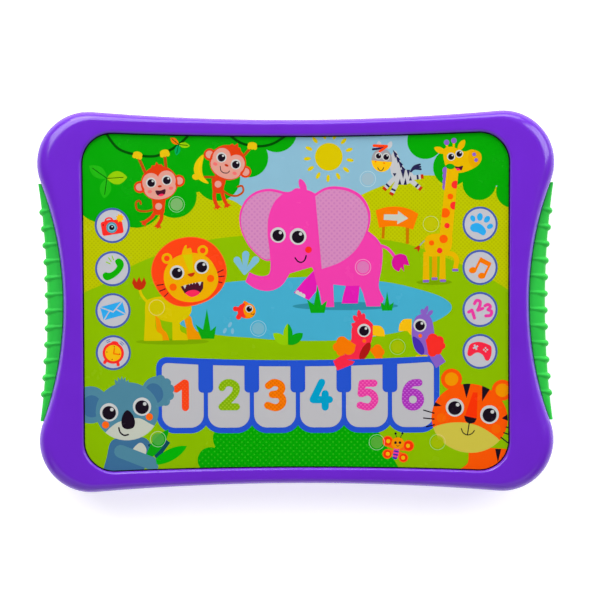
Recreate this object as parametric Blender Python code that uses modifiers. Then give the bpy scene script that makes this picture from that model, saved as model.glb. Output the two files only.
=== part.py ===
"""Kids toy tablet, lying on its back with the printed touch panel facing up.

Units are metres. The origin is under the middle of the casing, on the flat back face.
+X runs along the long side, +Y towards the top edge of the panel, +Z out of the panel.
"""

import math

import bmesh
import bpy
from mathutils import Matrix, Vector

# ---------------------------------------------------------------- driving dimensions

GAP = 0.0003                # clearance between pieces that touch
WELD_DISTANCE = 0.00001
OVERSHOOT = 0.001           # how far a cutter runs past the face that it opens

# Casing outline in plan: the corner circles, and how far each edge curves in between them
CASE_CORNER_X = 0.096
CASE_CORNER_Y = 0.0647
CASE_CORNER_RADIUS = 0.024
CASE_WAIST_TOP = 0.0040
CASE_WAIST_SIDE = 0.0117
WALL = 0.0022
LIP_THICKNESS = 0.0010      # the rear casing's lip stands inside the bezel's wall
LIP_HEIGHT = 0.0016
CASE_STEPS = (5, 8, 3)      # segments of half a side, a corner and half a top edge

# Window in the bezel, in the same terms
WINDOW_CORNER_X = 0.0857
WINDOW_CORNER_Y = 0.0645
WINDOW_CORNER_RADIUS = 0.0145
WINDOW_WAIST = 0.0017

# Heights through the stack, from the back face up
SEAM_Z = 0.0132             # top of the rear casing's wall
CASE_TOP_Z = 0.0270
RIM_UNDERSIDE_Z = 0.0253
FILM_Z = (0.0242, 0.0250)
UPPER_SHEET_Z = (0.0234, 0.0237)
SPACER_SHEET_Z = (0.0228, 0.0231)
LOWER_SHEET_Z = (0.0222, 0.0225)
SUPPORT_Z = (0.0199, 0.0219)
BOARD_Z = (0.0116, 0.0132)
SHEET_MARGIN = 0.0018       # how far the film and its sheets reach under the rim

FRONT_EDGE_RADIUS = 0.0060
FRONT_CHAMFER = 0.0030      # inside, behind the round edge
BACK_EDGE_RADIUS = 0.0050
BACK_CHAMFER = 0.0025
EDGE_SEGMENTS = 3

# Hand grips
GRIP_HALF_LENGTH = 0.0554
GRIP_MIDDLE_X = 0.1150
GRIP_TIP_X = 0.1193
GRIP_MIDDLE_Z = 0.0130
GRIP_HALF_HEIGHT = 0.0094
GRIP_TIP_HALF_HEIGHT = 0.0082
GRIP_ROUNDNESS = 0.5        # 1 gives an ellipse, smaller values a squarer section
GRIP_SECTION_STEPS = 6
RIB_COUNT = 12
RIB_PITCH = 0.00775
RIB_HEIGHT = 0.0010
RIB_STEPS = 4
PEG_OFFSET_Y = 0.025
PEG_NECK = (0.0060, 0.0027)         # width along Y, height
PEG_HEAD = (0.0100, 0.0051)
PEG_HEAD_THICKNESS = 0.0016

# Touch keys printed on the film
ICON_RADIUS = 0.0081
ICON_X = 0.0853
ICON_Y = (0.0355, 0.0155, -0.0040, -0.0236)
ICON_NAMES_LEFT = ("camera", "phone", "mail", "alarm")
ICON_NAMES_RIGHT = ("paw", "music", "numbers", "gamepad")
NUMBER_KEYS = 6
NUMBER_PITCH = 0.0214
NUMBER_ROW_X = 0.0012
NUMBER_HALF_WIDTH = 0.0097
NUMBER_NECK_HALF_WIDTH = 0.0073
NUMBER_TOP_Y = -0.0296
NUMBER_SHOULDER_Y = -0.0424
NUMBER_BOTTOM_Y = -0.0588
NUMBER_BOTTOM_RADIUS = 0.0061
NUMBER_SHOULDER_RADIUS = 0.0020
NUMBER_TOP_RADIUS = 0.0027
KEY_SIDES = 20
CONTACT_HOLE_RADIUS = 0.0060
NUMBER_CONTACT = (0.0060, 0.0090)   # half sizes of the spacer's hole under a number key

# Lights under the film
LIGHT_SPOTS = (
    (-0.0551, 0.0449), (0.0338, 0.0570), (0.0631, 0.0360), (0.0315, 0.0160), (-0.0647, -0.0031),
    (-0.0174, -0.0124), (0.0475, -0.0212), (-0.0645, -0.0641), (0.0378, -0.0659), (0.0662, -0.0659),
)
LIGHT_RADIUS = 0.0025
LIGHT_FLANGE_RADIUS = 0.0029
LIGHT_FLANGE_HEIGHT = 0.0009
LIGHT_HEIGHT = 0.0072
WELL_RADIUS = 0.0032
WELL_COLLAR_RADIUS = 0.0044
WELL_BOTTOM_Z = 0.0155
SHEET_WINDOW_RADIUS = 0.0034
LIGHT_SIDES = 10
SHEET_HOLE_SIDES = 8

# Battery compartment: three cells side by side along X
BATTERY_Y = -0.0420
CELL_RADIUS = 0.0071
CELL_LENGTH = 0.0492
CELL_NUB = (0.0027, 0.0013)         # radius and length of the positive nub
CELL_PITCH = 0.0152
CELL_Z = 0.0098
CELL_SIDES = 16
CELL_STAGGER = 0.00175      # each cell sits this far towards its positive contact
BAY_HALF = (0.0295, 0.0231)
BAY_ROOF_Z = 0.0176
BAY_WALL = 0.0015
CONTACT_THICKNESS = 0.0004
CONTACT_HALF_WIDTH = 0.0045
CONTACT_Z = (0.0048, 0.0148)
TAB_Z = 0.0080
TAB_END_X = 0.0336
TAB_HALF_WIDTH = 0.0015
DIMPLE_RADIUS = 0.0022
SPRING_TURNS = 3
SPRING_STEPS = 8
SPRING_RADII = (0.0042, 0.0030)
SPRING_WIRE = 0.0004
SPRING_TIP = 0.0237         # distance of the spring's tip from the middle of the bay
CELL_COUNT = 3
CELL_SHOULDER = 0.0008      # the can's ends are broken by this much
DIMPLE_TIP_SHARE = 0.6      # the dimple's flat tip, as a share of its radius
DIMPLE_SIDES = 12

# Battery door, hinged on two tongues at its lower edge
DOOR_HALF_X = 0.0310
DOOR_Y = (-0.0676, -0.0164)
DOOR_THICKNESS = 0.0022
DOOR_CORNER_RADIUS = 0.0015
LEDGE_THICKNESS = 0.0022
LEDGE_MARGIN = 0.0035
TONGUE_X = 0.0180
TONGUE_HALF_WIDTH = 0.0040
TONGUE_LENGTH = 0.0015
TONGUE_THICKNESS = 0.0010
DOOR_TAB_Y = -0.0110
DOOR_TAB_RADIUS = 0.0060
DOOR_TAB_THICKNESS = 0.0034
DOOR_TAB_SIDES = 24
DOOR_BOSS_RADIUS = 0.0050
DOOR_BOSS_TOP_Z = 0.0095
DOOR_SCREW_HEAD_Z = (0.0003, 0.0017)
DOOR_SCREW_TIP_Z = 0.0070
DOOR_SCREW_HEAD_RADIUS = 0.0030
DOOR_SCREW_RADIUS = 0.0013
DOOR_SCREW_CLEARANCE = 0.0005

# Fasteners of the casing and the board
CASE_SCREW_X = 0.107
CASE_SCREW_Y = 0.073
CASE_SCREW_HEAD_Z = (0.0009, 0.0029)
CASE_SCREW_HEAD_RADIUS = 0.0029
CASE_SCREW_RADIUS = 0.0014
CASE_SCREW_TIP_Z = 0.0195
REAR_POST_RADIUS = 0.0046
FRONT_BOSS_RADIUS = 0.0036
PLATE_PROP_X = 0.092
PLATE_PROP_Y = 0.040
PLATE_PROP_RADIUS = 0.0025
BOARD_SCREW_X = 0.078
BOARD_SCREW_Y = 0.020
BOARD_SCREW_HEAD_RADIUS = 0.0024
BOARD_SCREW_RADIUS = 0.0011
BOARD_SCREW_HEAD = 0.0017
BOARD_SCREW_TIP_Z = 0.0180
BOARD_POST_RADIUS = 0.0030
SCREW_SIDES = 12
SCREW_POINT_SHARE = 0.6     # flat point, as a share of the shank's radius
HEAD_FACE_SHARE = 0.8       # flat face of the round head, as a share of its radius
HEAD_ROUND_SHARE = 0.4      # height of the head's rounding, as a share of the head's height
RECESS_LENGTH_SHARE = 1.2   # length of the cross recess, as a share of the head's radius
RECESS_DEPTH = 0.0009
RECESS_WIDTH = 0.0008

# Main board: a U around the battery compartment
BOARD_HALF_X = 0.084
BOARD_Y = (-0.072, 0.062)
BOARD_NOTCH_HALF_X = 0.0346
BOARD_NOTCH_Y = -0.0156
CHIP_AT = (-0.030, 0.022)
CHIP_RADIUS = 0.0080
CHIP_HEIGHT = 0.0020
CHIP_DOME = ((0.5, 0.9), (0.85, 0.5))   # points on the dome: share of the radius, share of the height
TAIL_HALF_WIDTH = 0.011
TAIL_Y = (0.054, 0.066)
TAIL_THICKNESS = 0.0003
CLAMP_Y = (0.0550, 0.0600)
CLAMP_HEIGHT = 0.0024

# Speaker, facing the back
SPEAKER_Y = 0.032
SPEAKER_RADIUS = 0.020
SPEAKER_BOTTOM_Z = 0.0026
SPEAKER_SIDES = 20
CONE_RADIUS = 0.0158
FRAME_FLANGE = 0.0012               # thickness of the frame's rim
FRAME_OPENING = 0.0166
FRAME_SHOULDER = (0.0174, 0.0022)   # radius and height where the basket starts
MAGNET_RADIUS = 0.0090
MAGNET_Z = (0.0056, 0.0086)
BASKET_TOP_RADIUS = 0.0110
BASKET_INSIDE = ((0.0166, 0.0017), (0.0105, 0.0048))
CONE_OUTSIDE = ((0.0055, 0.0037), (0.0150, 0.0013))
CONE_RIM_Z = (0.0005, 0.0011)
CONE_INSIDE = ((0.0150, 0.0006), (0.0060, 0.0026), (0.0036, 0.0016))
CONE_DOME_Z = 0.0012
COLLAR_WALL = 0.0016
COLLAR_TOP_Z = 0.0060
GRILLE_SLOTS = 7
GRILLE_PITCH = 0.0044
GRILLE_SLOT_WIDTH = 0.0020
GRILLE_RADIUS = 0.0165

# Power and volume switch in the back
SWITCH_AT = (0.058, 0.044)
SWITCH_TRAVEL = 0.0020      # each way from the middle
SWITCH_POCKET = (0.0160, 0.0080)
SWITCH_POCKET_DEPTH = 0.0011
KNOB = (0.0050, 0.0038)
KNOB_BOTTOM_Z = 0.0003
KNOB_GROOVE_WIDTH = 0.0005
KNOB_GROOVE_PITCH = 0.00125
CARRIAGE = (0.0150, 0.0070)
CARRIAGE_Z = (0.0026, 0.0038)
LEVER = (0.0040, 0.0026)
LEVER_TOP_Z = 0.0074
SWITCH_BODY = (0.0220, 0.0090)
SWITCH_BODY_BOTTOM_Z = 0.0042
SWITCH_GROOVE_TOP_Z = 0.0080

# Leads: steps outwards, along Y and up from the tab or the speaker to the board
WIRE_RADIUS = 0.0006
WIRE_STEP = 0.0018
CELL_LEAD = ((0, 0, 0), (0.004, 0, -0.001), (0.009, 0.004, -0.001), (0.011, 0.008, 0))
CELL_LEAD_END = (0.011, 0.009)
SPEAKER_LEAD_START = (0.0040, 0.0130, 0.0086)
SPEAKER_LEAD = ((0, 0, 0), (0.0006, 0.004, -0.0002), (0.0016, 0.008, 0), (0.0020, 0.0105, 0.0012))
SPEAKER_LEAD_END = (0.0020, 0.0110)

# ---------------------------------------------------------------- materials: colour, roughness, metallic

FINISHES = {
    "purple_gloss": ((0.162, 0.021, 0.578), 0.22, 0.0),
    "green_satin": ((0.027, 0.546, 0.070), 0.42, 0.0),
    "printed_film": ((0.275, 0.521, 0.008), 0.30, 0.0),
    "key_white": ((0.546, 0.546, 0.584), 0.30, 0.0),
    "clear_sheet": ((0.760, 0.790, 0.800), 0.25, 0.0),
    "spacer_sheet": ((0.620, 0.640, 0.620), 0.40, 0.0),
    "white_plastic": ((0.730, 0.730, 0.700), 0.50, 0.0),
    "board_tan": ((0.381, 0.231, 0.080), 0.55, 0.0),
    "light_lens": ((0.800, 0.780, 0.700), 0.20, 0.0),
    "black_resin": ((0.010, 0.010, 0.011), 0.40, 0.0),
    "steel": ((0.560, 0.560, 0.570), 0.35, 1.0),
    "cone_paper": ((0.030, 0.028, 0.027), 0.80, 0.0),
    "cell_jacket": ((0.020, 0.060, 0.110), 0.35, 0.3),
    "red_lead": ((0.480, 0.014, 0.012), 0.45, 0.0),
    "black_lead": ((0.012, 0.012, 0.013), 0.45, 0.0),
}


def make_material(name):
    colour, roughness, metallic = FINISHES[name]
    made = bpy.data.materials.new(name)
    made.use_nodes = True
    shader = made.node_tree.nodes["Principled BSDF"]
    shader.inputs["Base Color"].default_value = (*colour, 1.0)
    shader.inputs["Roughness"].default_value = roughness
    shader.inputs["Metallic"].default_value = metallic
    return made


# ---------------------------------------------------------------- scene

def clear_scene():
    for old in list(bpy.data.objects):
        bpy.data.objects.remove(old, do_unlink=True)


def make_collection(name):
    made = bpy.data.collections.new(name)
    bpy.context.scene.collection.children.link(made)
    return made


clear_scene()
PARTS = make_collection("toy_tablet")
CUTTERS = make_collection("cutters")
MATERIALS = {name: make_material(name) for name in FINISHES}
FRAME = bpy.data.objects.new("tablet_frame", None)
PARTS.objects.link(FRAME)


def add_part(solid, finish, origin=None, parent=FRAME):
    """Puts a solid in the model, with its origin at a world point if one is given."""
    if origin is not None:
        shift = Vector(origin) - solid.location
        solid.data.transform(Matrix.Translation(-shift))
        solid.location = origin
    solid.data.materials.clear()
    solid.data.materials.append(MATERIALS[finish])
    solid.data.shade_smooth()
    solid.data.set_sharp_from_angle(angle=math.radians(35))
    solid.location -= parent.location
    solid.parent = parent
    PARTS.objects.link(solid)
    return solid


def combine(target, tool, operation):
    """Adds a Boolean modifier and keeps its tool out of the model."""
    tool.hide_render = True
    tool.display_type = "WIRE"
    CUTTERS.objects.link(tool)
    change = target.modifiers.new(tool.name, "BOOLEAN")
    change.operation = operation
    change.object = tool


def cut(target, *tools):
    for tool in tools:
        combine(target, tool, "DIFFERENCE")


def join(target, *tools):
    for tool in tools:
        combine(target, tool, "UNION")


# ---------------------------------------------------------------- outlines in plan

def arc(centre, radius, start, end, steps):
    """Points from one angle to another, in degrees, both ends included."""
    angles = [math.radians(start + (end - start) * step / steps) for step in range(steps + 1)]
    return [(centre[0] + radius * math.cos(a), centre[1] + radius * math.sin(a)) for a in angles]


def circle(centre, radius, sides):
    return arc(centre, radius, 0, 360, sides)[:-1]


def rounded_rectangle(centre, half_x, half_y, radius, steps=4):
    x, y = half_x - radius, half_y - radius
    points = []
    for quarter, (side_x, side_y) in enumerate(((1, 1), (-1, 1), (-1, -1), (1, -1))):
        corner = (centre[0] + side_x * x, centre[1] + side_y * y)
        points += arc(corner, radius, 90 * quarter, 90 * quarter + 90, steps)
    return points


def waist_distance(half_span, sag):
    """Distance between a corner circle's centre and the centre of the arc that touches it."""
    return (half_span ** 2 + sag ** 2) / (2 * sag)


def waisted_outline(corner_x, corner_y, radius, sag_top, sag_side, steps):
    """Four round corners joined by tangent arcs that curve inwards; steps = (side, corner, top)."""
    side, corner, top = steps
    side_reach = waist_distance(corner_y, sag_side)
    top_reach = waist_distance(corner_x, sag_top)
    lean = math.degrees(math.asin(corner_y / side_reach))
    tilt = math.degrees(math.asin(corner_x / top_reach))
    side_centre = (corner_x + math.sqrt(side_reach ** 2 - corner_y ** 2), 0)
    top_centre = (0, corner_y + math.sqrt(top_reach ** 2 - corner_x ** 2))
    quarter = arc(side_centre, side_reach - radius, 180, 180 - lean, side)[:-1]
    quarter += arc((corner_x, corner_y), radius, -lean, 90 + tilt, corner)[:-1]
    quarter += arc(top_centre, top_reach - radius, 270 + tilt, 270, top)
    upper = quarter + [(-x, y) for x, y in reversed(quarter)][1:]
    return upper + [(x, -y) for x, y in reversed(upper)][1:-1]


def case_outline(inset=0.0, steps=CASE_STEPS):
    return waisted_outline(CASE_CORNER_X, CASE_CORNER_Y, CASE_CORNER_RADIUS - inset,
                           CASE_WAIST_TOP, CASE_WAIST_SIDE, steps)


def window_outline(grow=0.0, steps=(1, 4, 1)):
    return waisted_outline(WINDOW_CORNER_X, WINDOW_CORNER_Y, WINDOW_CORNER_RADIUS + grow,
                           WINDOW_WAIST, WINDOW_WAIST, steps)


def case_side_x(y):
    """Half width of the casing at a height within its side waist."""
    reach = waist_distance(CASE_CORNER_Y, CASE_WAIST_SIDE)
    centre_x = CASE_CORNER_X + math.sqrt(reach ** 2 - CASE_CORNER_Y ** 2)
    return centre_x - math.sqrt((reach - CASE_CORNER_RADIUS) ** 2 - y ** 2)


def number_key_outline(index, grow=0.0):
    """A key with a shoulder on each side that has a neighbour, and a round bottom."""
    centre_x = NUMBER_ROW_X + NUMBER_PITCH * (index - (NUMBER_KEYS - 1) / 2)
    half = NUMBER_HALF_WIDTH + grow
    neck = NUMBER_NECK_HALF_WIDTH + grow
    top = NUMBER_TOP_Y + grow
    bottom = NUMBER_BOTTOM_Y - grow
    bend = NUMBER_BOTTOM_RADIUS + grow
    shoulder = NUMBER_SHOULDER_RADIUS - grow
    shoulder_y = NUMBER_SHOULDER_Y + grow
    right = arc((half - bend, bottom + bend), bend, -90, 0, 4)
    stepped = [(half, shoulder_y)] + arc((neck + shoulder, shoulder_y + shoulder), shoulder, 270, 180, 2)
    stepped += [(neck, top)]
    plain = arc((half - NUMBER_TOP_RADIUS, top - NUMBER_TOP_RADIUS), NUMBER_TOP_RADIUS, 0, 90, 2)
    right_half = right + (plain if index == NUMBER_KEYS - 1 else stepped)
    left_half = right + (plain if index == 0 else stepped)
    outline = right_half + [(-x, y) for x, y in reversed(left_half)]
    return [(centre_x + x, y) for x, y in outline]


def icon_places():
    """Name and centre of each round key."""
    places = []
    for side, names in ((-1, ICON_NAMES_LEFT), (1, ICON_NAMES_RIGHT)):
        places += [(name, (side * ICON_X, y)) for name, y in zip(names, ICON_Y)]
    return places


# ---------------------------------------------------------------- solids

def solid_from(name, bm, location=(0, 0, 0)):
    mesh = bpy.data.meshes.new(name)
    bm.to_mesh(mesh)
    bm.free()
    made = bpy.data.objects.new(name, mesh)
    made.location = location
    return made


def curve_to_solid(name, curve, location, flat_caps=False):
    """Turns a curve into a welded mesh at the same place."""
    sketch = bpy.data.objects.new("sketch", curve)
    sketch.location = location
    CUTTERS.objects.link(sketch)
    bpy.context.view_layer.update()
    drawn = sketch.evaluated_get(bpy.context.evaluated_depsgraph_get())
    mesh = bpy.data.meshes.new_from_object(drawn)
    bm = bmesh.new()
    bm.from_mesh(mesh)
    bmesh.ops.remove_doubles(bm, verts=bm.verts, dist=WELD_DISTANCE)
    if flat_caps:
        bmesh.ops.dissolve_limit(bm, angle_limit=0.001, verts=bm.verts, edges=bm.edges)
    bmesh.ops.recalc_face_normals(bm, faces=bm.faces)
    bm.to_mesh(mesh)
    bm.free()
    mesh.name = name
    made = bpy.data.objects.new(name, mesh)
    made.matrix_world = sketch.matrix_world
    bpy.data.objects.remove(sketch)
    bpy.data.curves.remove(curve)
    return made


def plate(name, outline, z_range, holes=()):
    """A flat outline with thickness; the holes are outlines too."""
    low, high = z_range
    curve = bpy.data.curves.new(name, "CURVE")
    curve.dimensions = "2D"
    curve.fill_mode = "BOTH"
    curve.extrude = (high - low) / 2
    for loop in (outline, *holes):
        spline = curve.splines.new("POLY")
        spline.points.add(len(loop) - 1)
        for point, (x, y) in zip(spline.points, loop):
            point.co = (x, y, 0, 1)
        spline.use_cyclic_u = True
    return curve_to_solid(name, curve, (0, 0, (low + high) / 2), flat_caps=not holes)


def tube(name, path, radius):
    """A round wire along a list of points."""
    curve = bpy.data.curves.new(name, "CURVE")
    curve.dimensions = "3D"
    curve.bevel_depth = radius
    curve.bevel_resolution = 1
    curve.use_fill_caps = True
    spline = curve.splines.new("POLY")
    spline.points.add(len(path) - 1)
    for point, place in zip(spline.points, path):
        point.co = (*place, 1)
    return curve_to_solid(name, curve, (0, 0, 0))


def block(name, low, high):
    low, high = Vector(low), Vector(high)
    bm = bmesh.new()
    bmesh.ops.create_cube(bm, size=1.0)
    bmesh.ops.scale(bm, vec=high - low, verts=bm.verts)
    return solid_from(name, bm, (low + high) / 2)


def centred_block(name, at, size, z_range):
    low = (at[0] - size[0] / 2, at[1] - size[1] / 2, z_range[0])
    high = (at[0] + size[0] / 2, at[1] + size[1] / 2, z_range[1])
    return block(name, low, high)


def rod(name, at, radius, z_range, sides=SCREW_SIDES):
    bm = bmesh.new()
    bmesh.ops.create_cone(bm, cap_ends=True, segments=sides, radius1=radius, radius2=radius,
                          depth=z_range[1] - z_range[0])
    return solid_from(name, bm, (at[0], at[1], (z_range[0] + z_range[1]) / 2))


def turned(name, profile, location, sides):
    """Turns a profile of (radius, height) points, given from the top down its outer side."""
    bm = bmesh.new()
    points = [bm.verts.new((radius, 0, height)) for radius, height in profile]
    for first, second in zip(points, points[1:]):
        bm.edges.new((first, second))
    made = solid_from(name, bm, location)
    turn = made.modifiers.new("turn", "SCREW")
    turn.steps = sides
    turn.render_steps = sides
    turn.use_merge_vertices = True
    turn.merge_threshold = WELD_DISTANCE
    return made


def soften_rim(solid, width, side, segments):
    """Bevels the rim of the top face (side 1) or the bottom face (side -1) of a plate."""
    mesh = solid.data
    weights = mesh.attributes.new("bevel_weight_edge", "FLOAT", "EDGE")
    for edge in mesh.edges:
        ends = [mesh.vertices[index].co.z * side for index in edge.vertices]
        weights.data[edge.index].value = 1.0 if min(ends) > 0 else 0.0
    bevel = solid.modifiers.new("soft_rim", "BEVEL")
    bevel.limit_method = "WEIGHT"
    bevel.width = width
    bevel.segments = segments


def corners(x, y):
    return [(side_x * x, side_y * y) for side_x in (-1, 1) for side_y in (-1, 1)]


# ---------------------------------------------------------------- casing

def peg_notches(name):
    """Openings through the side walls, half in each shell, for the necks of the grips' pegs."""
    half_width = PEG_NECK[0] / 2 + GAP
    half_height = PEG_NECK[1] / 2 + GAP
    middle_z = SEAM_Z + GAP / 2
    notches = []
    for side in (-1, 1):
        for y in (-PEG_OFFSET_Y, PEG_OFFSET_Y):
            ends = sorted((side * (CASE_CORNER_X + WALL), side * (case_side_x(y) + 2 * WALL)))
            low = (ends[0], y - half_width, middle_z - half_height)
            high = (ends[1], y + half_width, middle_z + half_height)
            notches.append(block(f"{name}_{len(notches)}", low, high))
    return notches


def make_front_bezel():
    bezel = plate("front_bezel", case_outline(), (SEAM_Z + GAP, CASE_TOP_Z))
    soften_rim(bezel, FRONT_EDGE_RADIUS, 1, EDGE_SEGMENTS)
    hollow = plate("bezel_hollow", case_outline(WALL), (SEAM_Z - OVERSHOOT, RIM_UNDERSIDE_Z))
    soften_rim(hollow, FRONT_CHAMFER, 1, 1)
    cut(bezel, hollow)
    rebate = plate("bezel_rebate", case_outline(WALL - LIP_THICKNESS - GAP),
                   (SEAM_Z - OVERSHOOT, SEAM_Z + LIP_HEIGHT + GAP))
    cut(bezel, rebate)
    for index, at in enumerate(corners(CASE_SCREW_X, CASE_SCREW_Y)):
        join(bezel, rod(f"front_boss_{index}", at, FRONT_BOSS_RADIUS,
                        (SEAM_Z + GAP, RIM_UNDERSIDE_Z + OVERSHOOT / 2)))
        cut(bezel, rod(f"front_boss_hole_{index}", at, CASE_SCREW_RADIUS + GAP,
                       (SEAM_Z - OVERSHOOT, CASE_SCREW_TIP_Z + OVERSHOOT)))
    window = window_outline(steps=(2, 6, 2))
    cut(bezel, plate("window", window, (RIM_UNDERSIDE_Z - OVERSHOOT, CASE_TOP_Z + OVERSHOOT)))
    cut(bezel, *peg_notches("front_peg_notch"))
    add_part(bezel, "purple_gloss")


def add_battery_bay(casing):
    ledge_top = DOOR_THICKNESS + GAP + LEDGE_THICKNESS
    floor_middle = WALL / 2
    join(casing, block("bay_ledge", (-DOOR_HALF_X - LEDGE_MARGIN, DOOR_Y[0] - LEDGE_MARGIN, floor_middle),
                       (DOOR_HALF_X + LEDGE_MARGIN, DOOR_Y[1] + LEDGE_MARGIN, ledge_top)))
    join(casing, rod("door_boss", (0, DOOR_TAB_Y), DOOR_TAB_RADIUS + LEDGE_MARGIN,
                     (floor_middle, ledge_top + GAP)))
    join(casing, rod("door_boss_top", (0, DOOR_TAB_Y), DOOR_BOSS_RADIUS, (floor_middle, DOOR_BOSS_TOP_Z)))
    outer = [half + BAY_WALL for half in BAY_HALF]
    join(casing, block("bay_walls", (-outer[0], BATTERY_Y - outer[1], floor_middle),
                       (outer[0], BATTERY_Y + outer[1], BAY_ROOF_Z + BAY_WALL)))
    cut(casing, block("bay_hollow", (-BAY_HALF[0], BATTERY_Y - BAY_HALF[1], -OVERSHOOT),
                      (BAY_HALF[0], BATTERY_Y + BAY_HALF[1], BAY_ROOF_Z)))
    cut(casing, block("door_recess", (-DOOR_HALF_X - GAP, DOOR_Y[0] - GAP, -OVERSHOOT),
                      (DOOR_HALF_X + GAP, DOOR_Y[1] + GAP, DOOR_THICKNESS + GAP)))
    tab_half = DOOR_TAB_RADIUS + GAP
    cut(casing, block("door_tab_recess_neck", (-tab_half, DOOR_Y[1] - GAP, -OVERSHOOT),
                      (tab_half, DOOR_TAB_Y, DOOR_TAB_THICKNESS + GAP)))
    cut(casing, rod("door_tab_recess", (0, DOOR_TAB_Y), tab_half,
                    (-OVERSHOOT, DOOR_TAB_THICKNESS + GAP), DOOR_TAB_SIDES))
    cut(casing, rod("door_screw_hole", (0, DOOR_TAB_Y), DOOR_SCREW_RADIUS + DOOR_SCREW_CLEARANCE,
                    (DOOR_THICKNESS, DOOR_BOSS_TOP_Z + OVERSHOOT)))
    slot_bottom = DOOR_THICKNESS - TONGUE_THICKNESS - GAP
    for side in (-1, 1):
        centre = side * TONGUE_X
        half = TONGUE_HALF_WIDTH + GAP
        low = (centre - half, DOOR_Y[0] - TONGUE_LENGTH - 2 * GAP, slot_bottom)
        high = (centre + half, BATTERY_Y - BAY_HALF[1] + OVERSHOOT, slot_bottom + 3 * TONGUE_THICKNESS)
        cut(casing, block(f"tongue_slot_{side}", low, high))
    for side, y in ((-1, BATTERY_Y - CELL_PITCH), (1, BATTERY_Y + CELL_PITCH)):
        ends = sorted((side * (BAY_HALF[0] - OVERSHOOT), side * (BAY_HALF[0] + BAY_WALL + OVERSHOOT)))
        half_width = TAB_HALF_WIDTH + GAP
        half_height = CONTACT_THICKNESS / 2 + GAP
        cut(casing, block(f"tab_slot_{side}", (ends[0], y - half_width, TAB_Z - half_height),
                          (ends[1], y + half_width, TAB_Z + half_height)))


def add_speaker_seat(casing):
    centre = (0, SPEAKER_Y)
    inner = SPEAKER_RADIUS + 2 * GAP
    ring = plate("speaker_collar", circle(centre, inner + COLLAR_WALL, SPEAKER_SIDES),
                 (WALL / 2, COLLAR_TOP_Z), [circle(centre, inner, SPEAKER_SIDES)])
    join(casing, ring)
    for index in range(GRILLE_SLOTS):
        offset = GRILLE_PITCH * (index - (GRILLE_SLOTS - 1) / 2)
        half = math.sqrt(GRILLE_RADIUS ** 2 - offset ** 2)
        outline = rounded_rectangle((0, SPEAKER_Y + offset), half, GRILLE_SLOT_WIDTH / 2,
                                    GRILLE_SLOT_WIDTH / 2 - WELD_DISTANCE, 2)
        cut(casing, plate(f"grille_slot_{index}", outline, (-OVERSHOOT, WALL + OVERSHOOT)))


def add_switch_opening(casing):
    pocket = [side / 2 for side in SWITCH_POCKET]
    outline = rounded_rectangle(SWITCH_AT, pocket[0], pocket[1], pocket[1] / 2)
    cut(casing, plate("switch_pocket", outline, (-OVERSHOOT, SWITCH_POCKET_DEPTH)))
    slot = (KNOB[0] + 2 * SWITCH_TRAVEL + 3 * GAP, KNOB[1] + 2 * GAP)
    cut(casing, centred_block("switch_slot", SWITCH_AT, slot, (-OVERSHOOT, WALL + OVERSHOOT)))


def make_rear_casing():
    casing = plate("rear_casing", case_outline(), (0, SEAM_Z))
    soften_rim(casing, BACK_EDGE_RADIUS, -1, EDGE_SEGMENTS)
    hollow = plate("casing_hollow", case_outline(WALL), (WALL, SEAM_Z + OVERSHOOT))
    soften_rim(hollow, BACK_CHAMFER, -1, 1)
    cut(casing, hollow)
    lip = plate("casing_lip", case_outline(WALL - LIP_THICKNESS), (SEAM_Z - WALL, SEAM_Z + LIP_HEIGHT),
                [case_outline(WALL)])
    join(casing, lip)
    add_battery_bay(casing)
    for index, at in enumerate(corners(CASE_SCREW_X, CASE_SCREW_Y)):
        join(casing, rod(f"rear_post_{index}", at, REAR_POST_RADIUS, (WALL / 2, SEAM_Z)))
        cut(casing, rod(f"screw_head_recess_{index}", at, CASE_SCREW_HEAD_RADIUS + 2 * GAP,
                        (-OVERSHOOT, CASE_SCREW_HEAD_Z[1] + GAP)))
        cut(casing, rod(f"screw_hole_{index}", at, CASE_SCREW_RADIUS + GAP, (0, SEAM_Z + OVERSHOOT)))
    for index, at in enumerate(corners(PLATE_PROP_X, PLATE_PROP_Y)):
        join(casing, rod(f"plate_prop_{index}", at, PLATE_PROP_RADIUS, (WALL / 2, SUPPORT_Z[0] - GAP), 8))
    add_speaker_seat(casing)
    add_switch_opening(casing)
    cut(casing, *peg_notches("rear_peg_notch"))
    add_part(casing, "purple_gloss")


# ---------------------------------------------------------------- hand grips

def rib_bump(y):
    """Height of the ribbed surface above the grip's base, at a place along the grip."""
    if abs(y) > RIB_PITCH * RIB_COUNT / 2:
        return 0.0
    wave = 0.5 - 0.5 * math.cos(2 * math.pi * (y / RIB_PITCH + RIB_COUNT / 2))
    return RIB_HEIGHT * wave


def grip_section(y):
    """Half-round section outside the casing's side wall."""
    reach = (abs(y) / GRIP_HALF_LENGTH) ** 2
    inner = case_side_x(y) + GAP
    outer = GRIP_MIDDLE_X + (GRIP_TIP_X - GRIP_MIDDLE_X) * reach + rib_bump(y)
    half_height = GRIP_HALF_HEIGHT + (GRIP_TIP_HALF_HEIGHT - GRIP_HALF_HEIGHT) * reach
    points = []
    for step in range(GRIP_SECTION_STEPS + 1):
        angle = math.pi * (step / GRIP_SECTION_STEPS - 0.5)
        swell = abs(math.cos(angle)) ** GRIP_ROUNDNESS
        rise = math.copysign(abs(math.sin(angle)) ** GRIP_ROUNDNESS, math.sin(angle))
        points.append((inner + (outer - inner) * swell, y, GRIP_MIDDLE_Z + half_height * rise))
    return points


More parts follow.
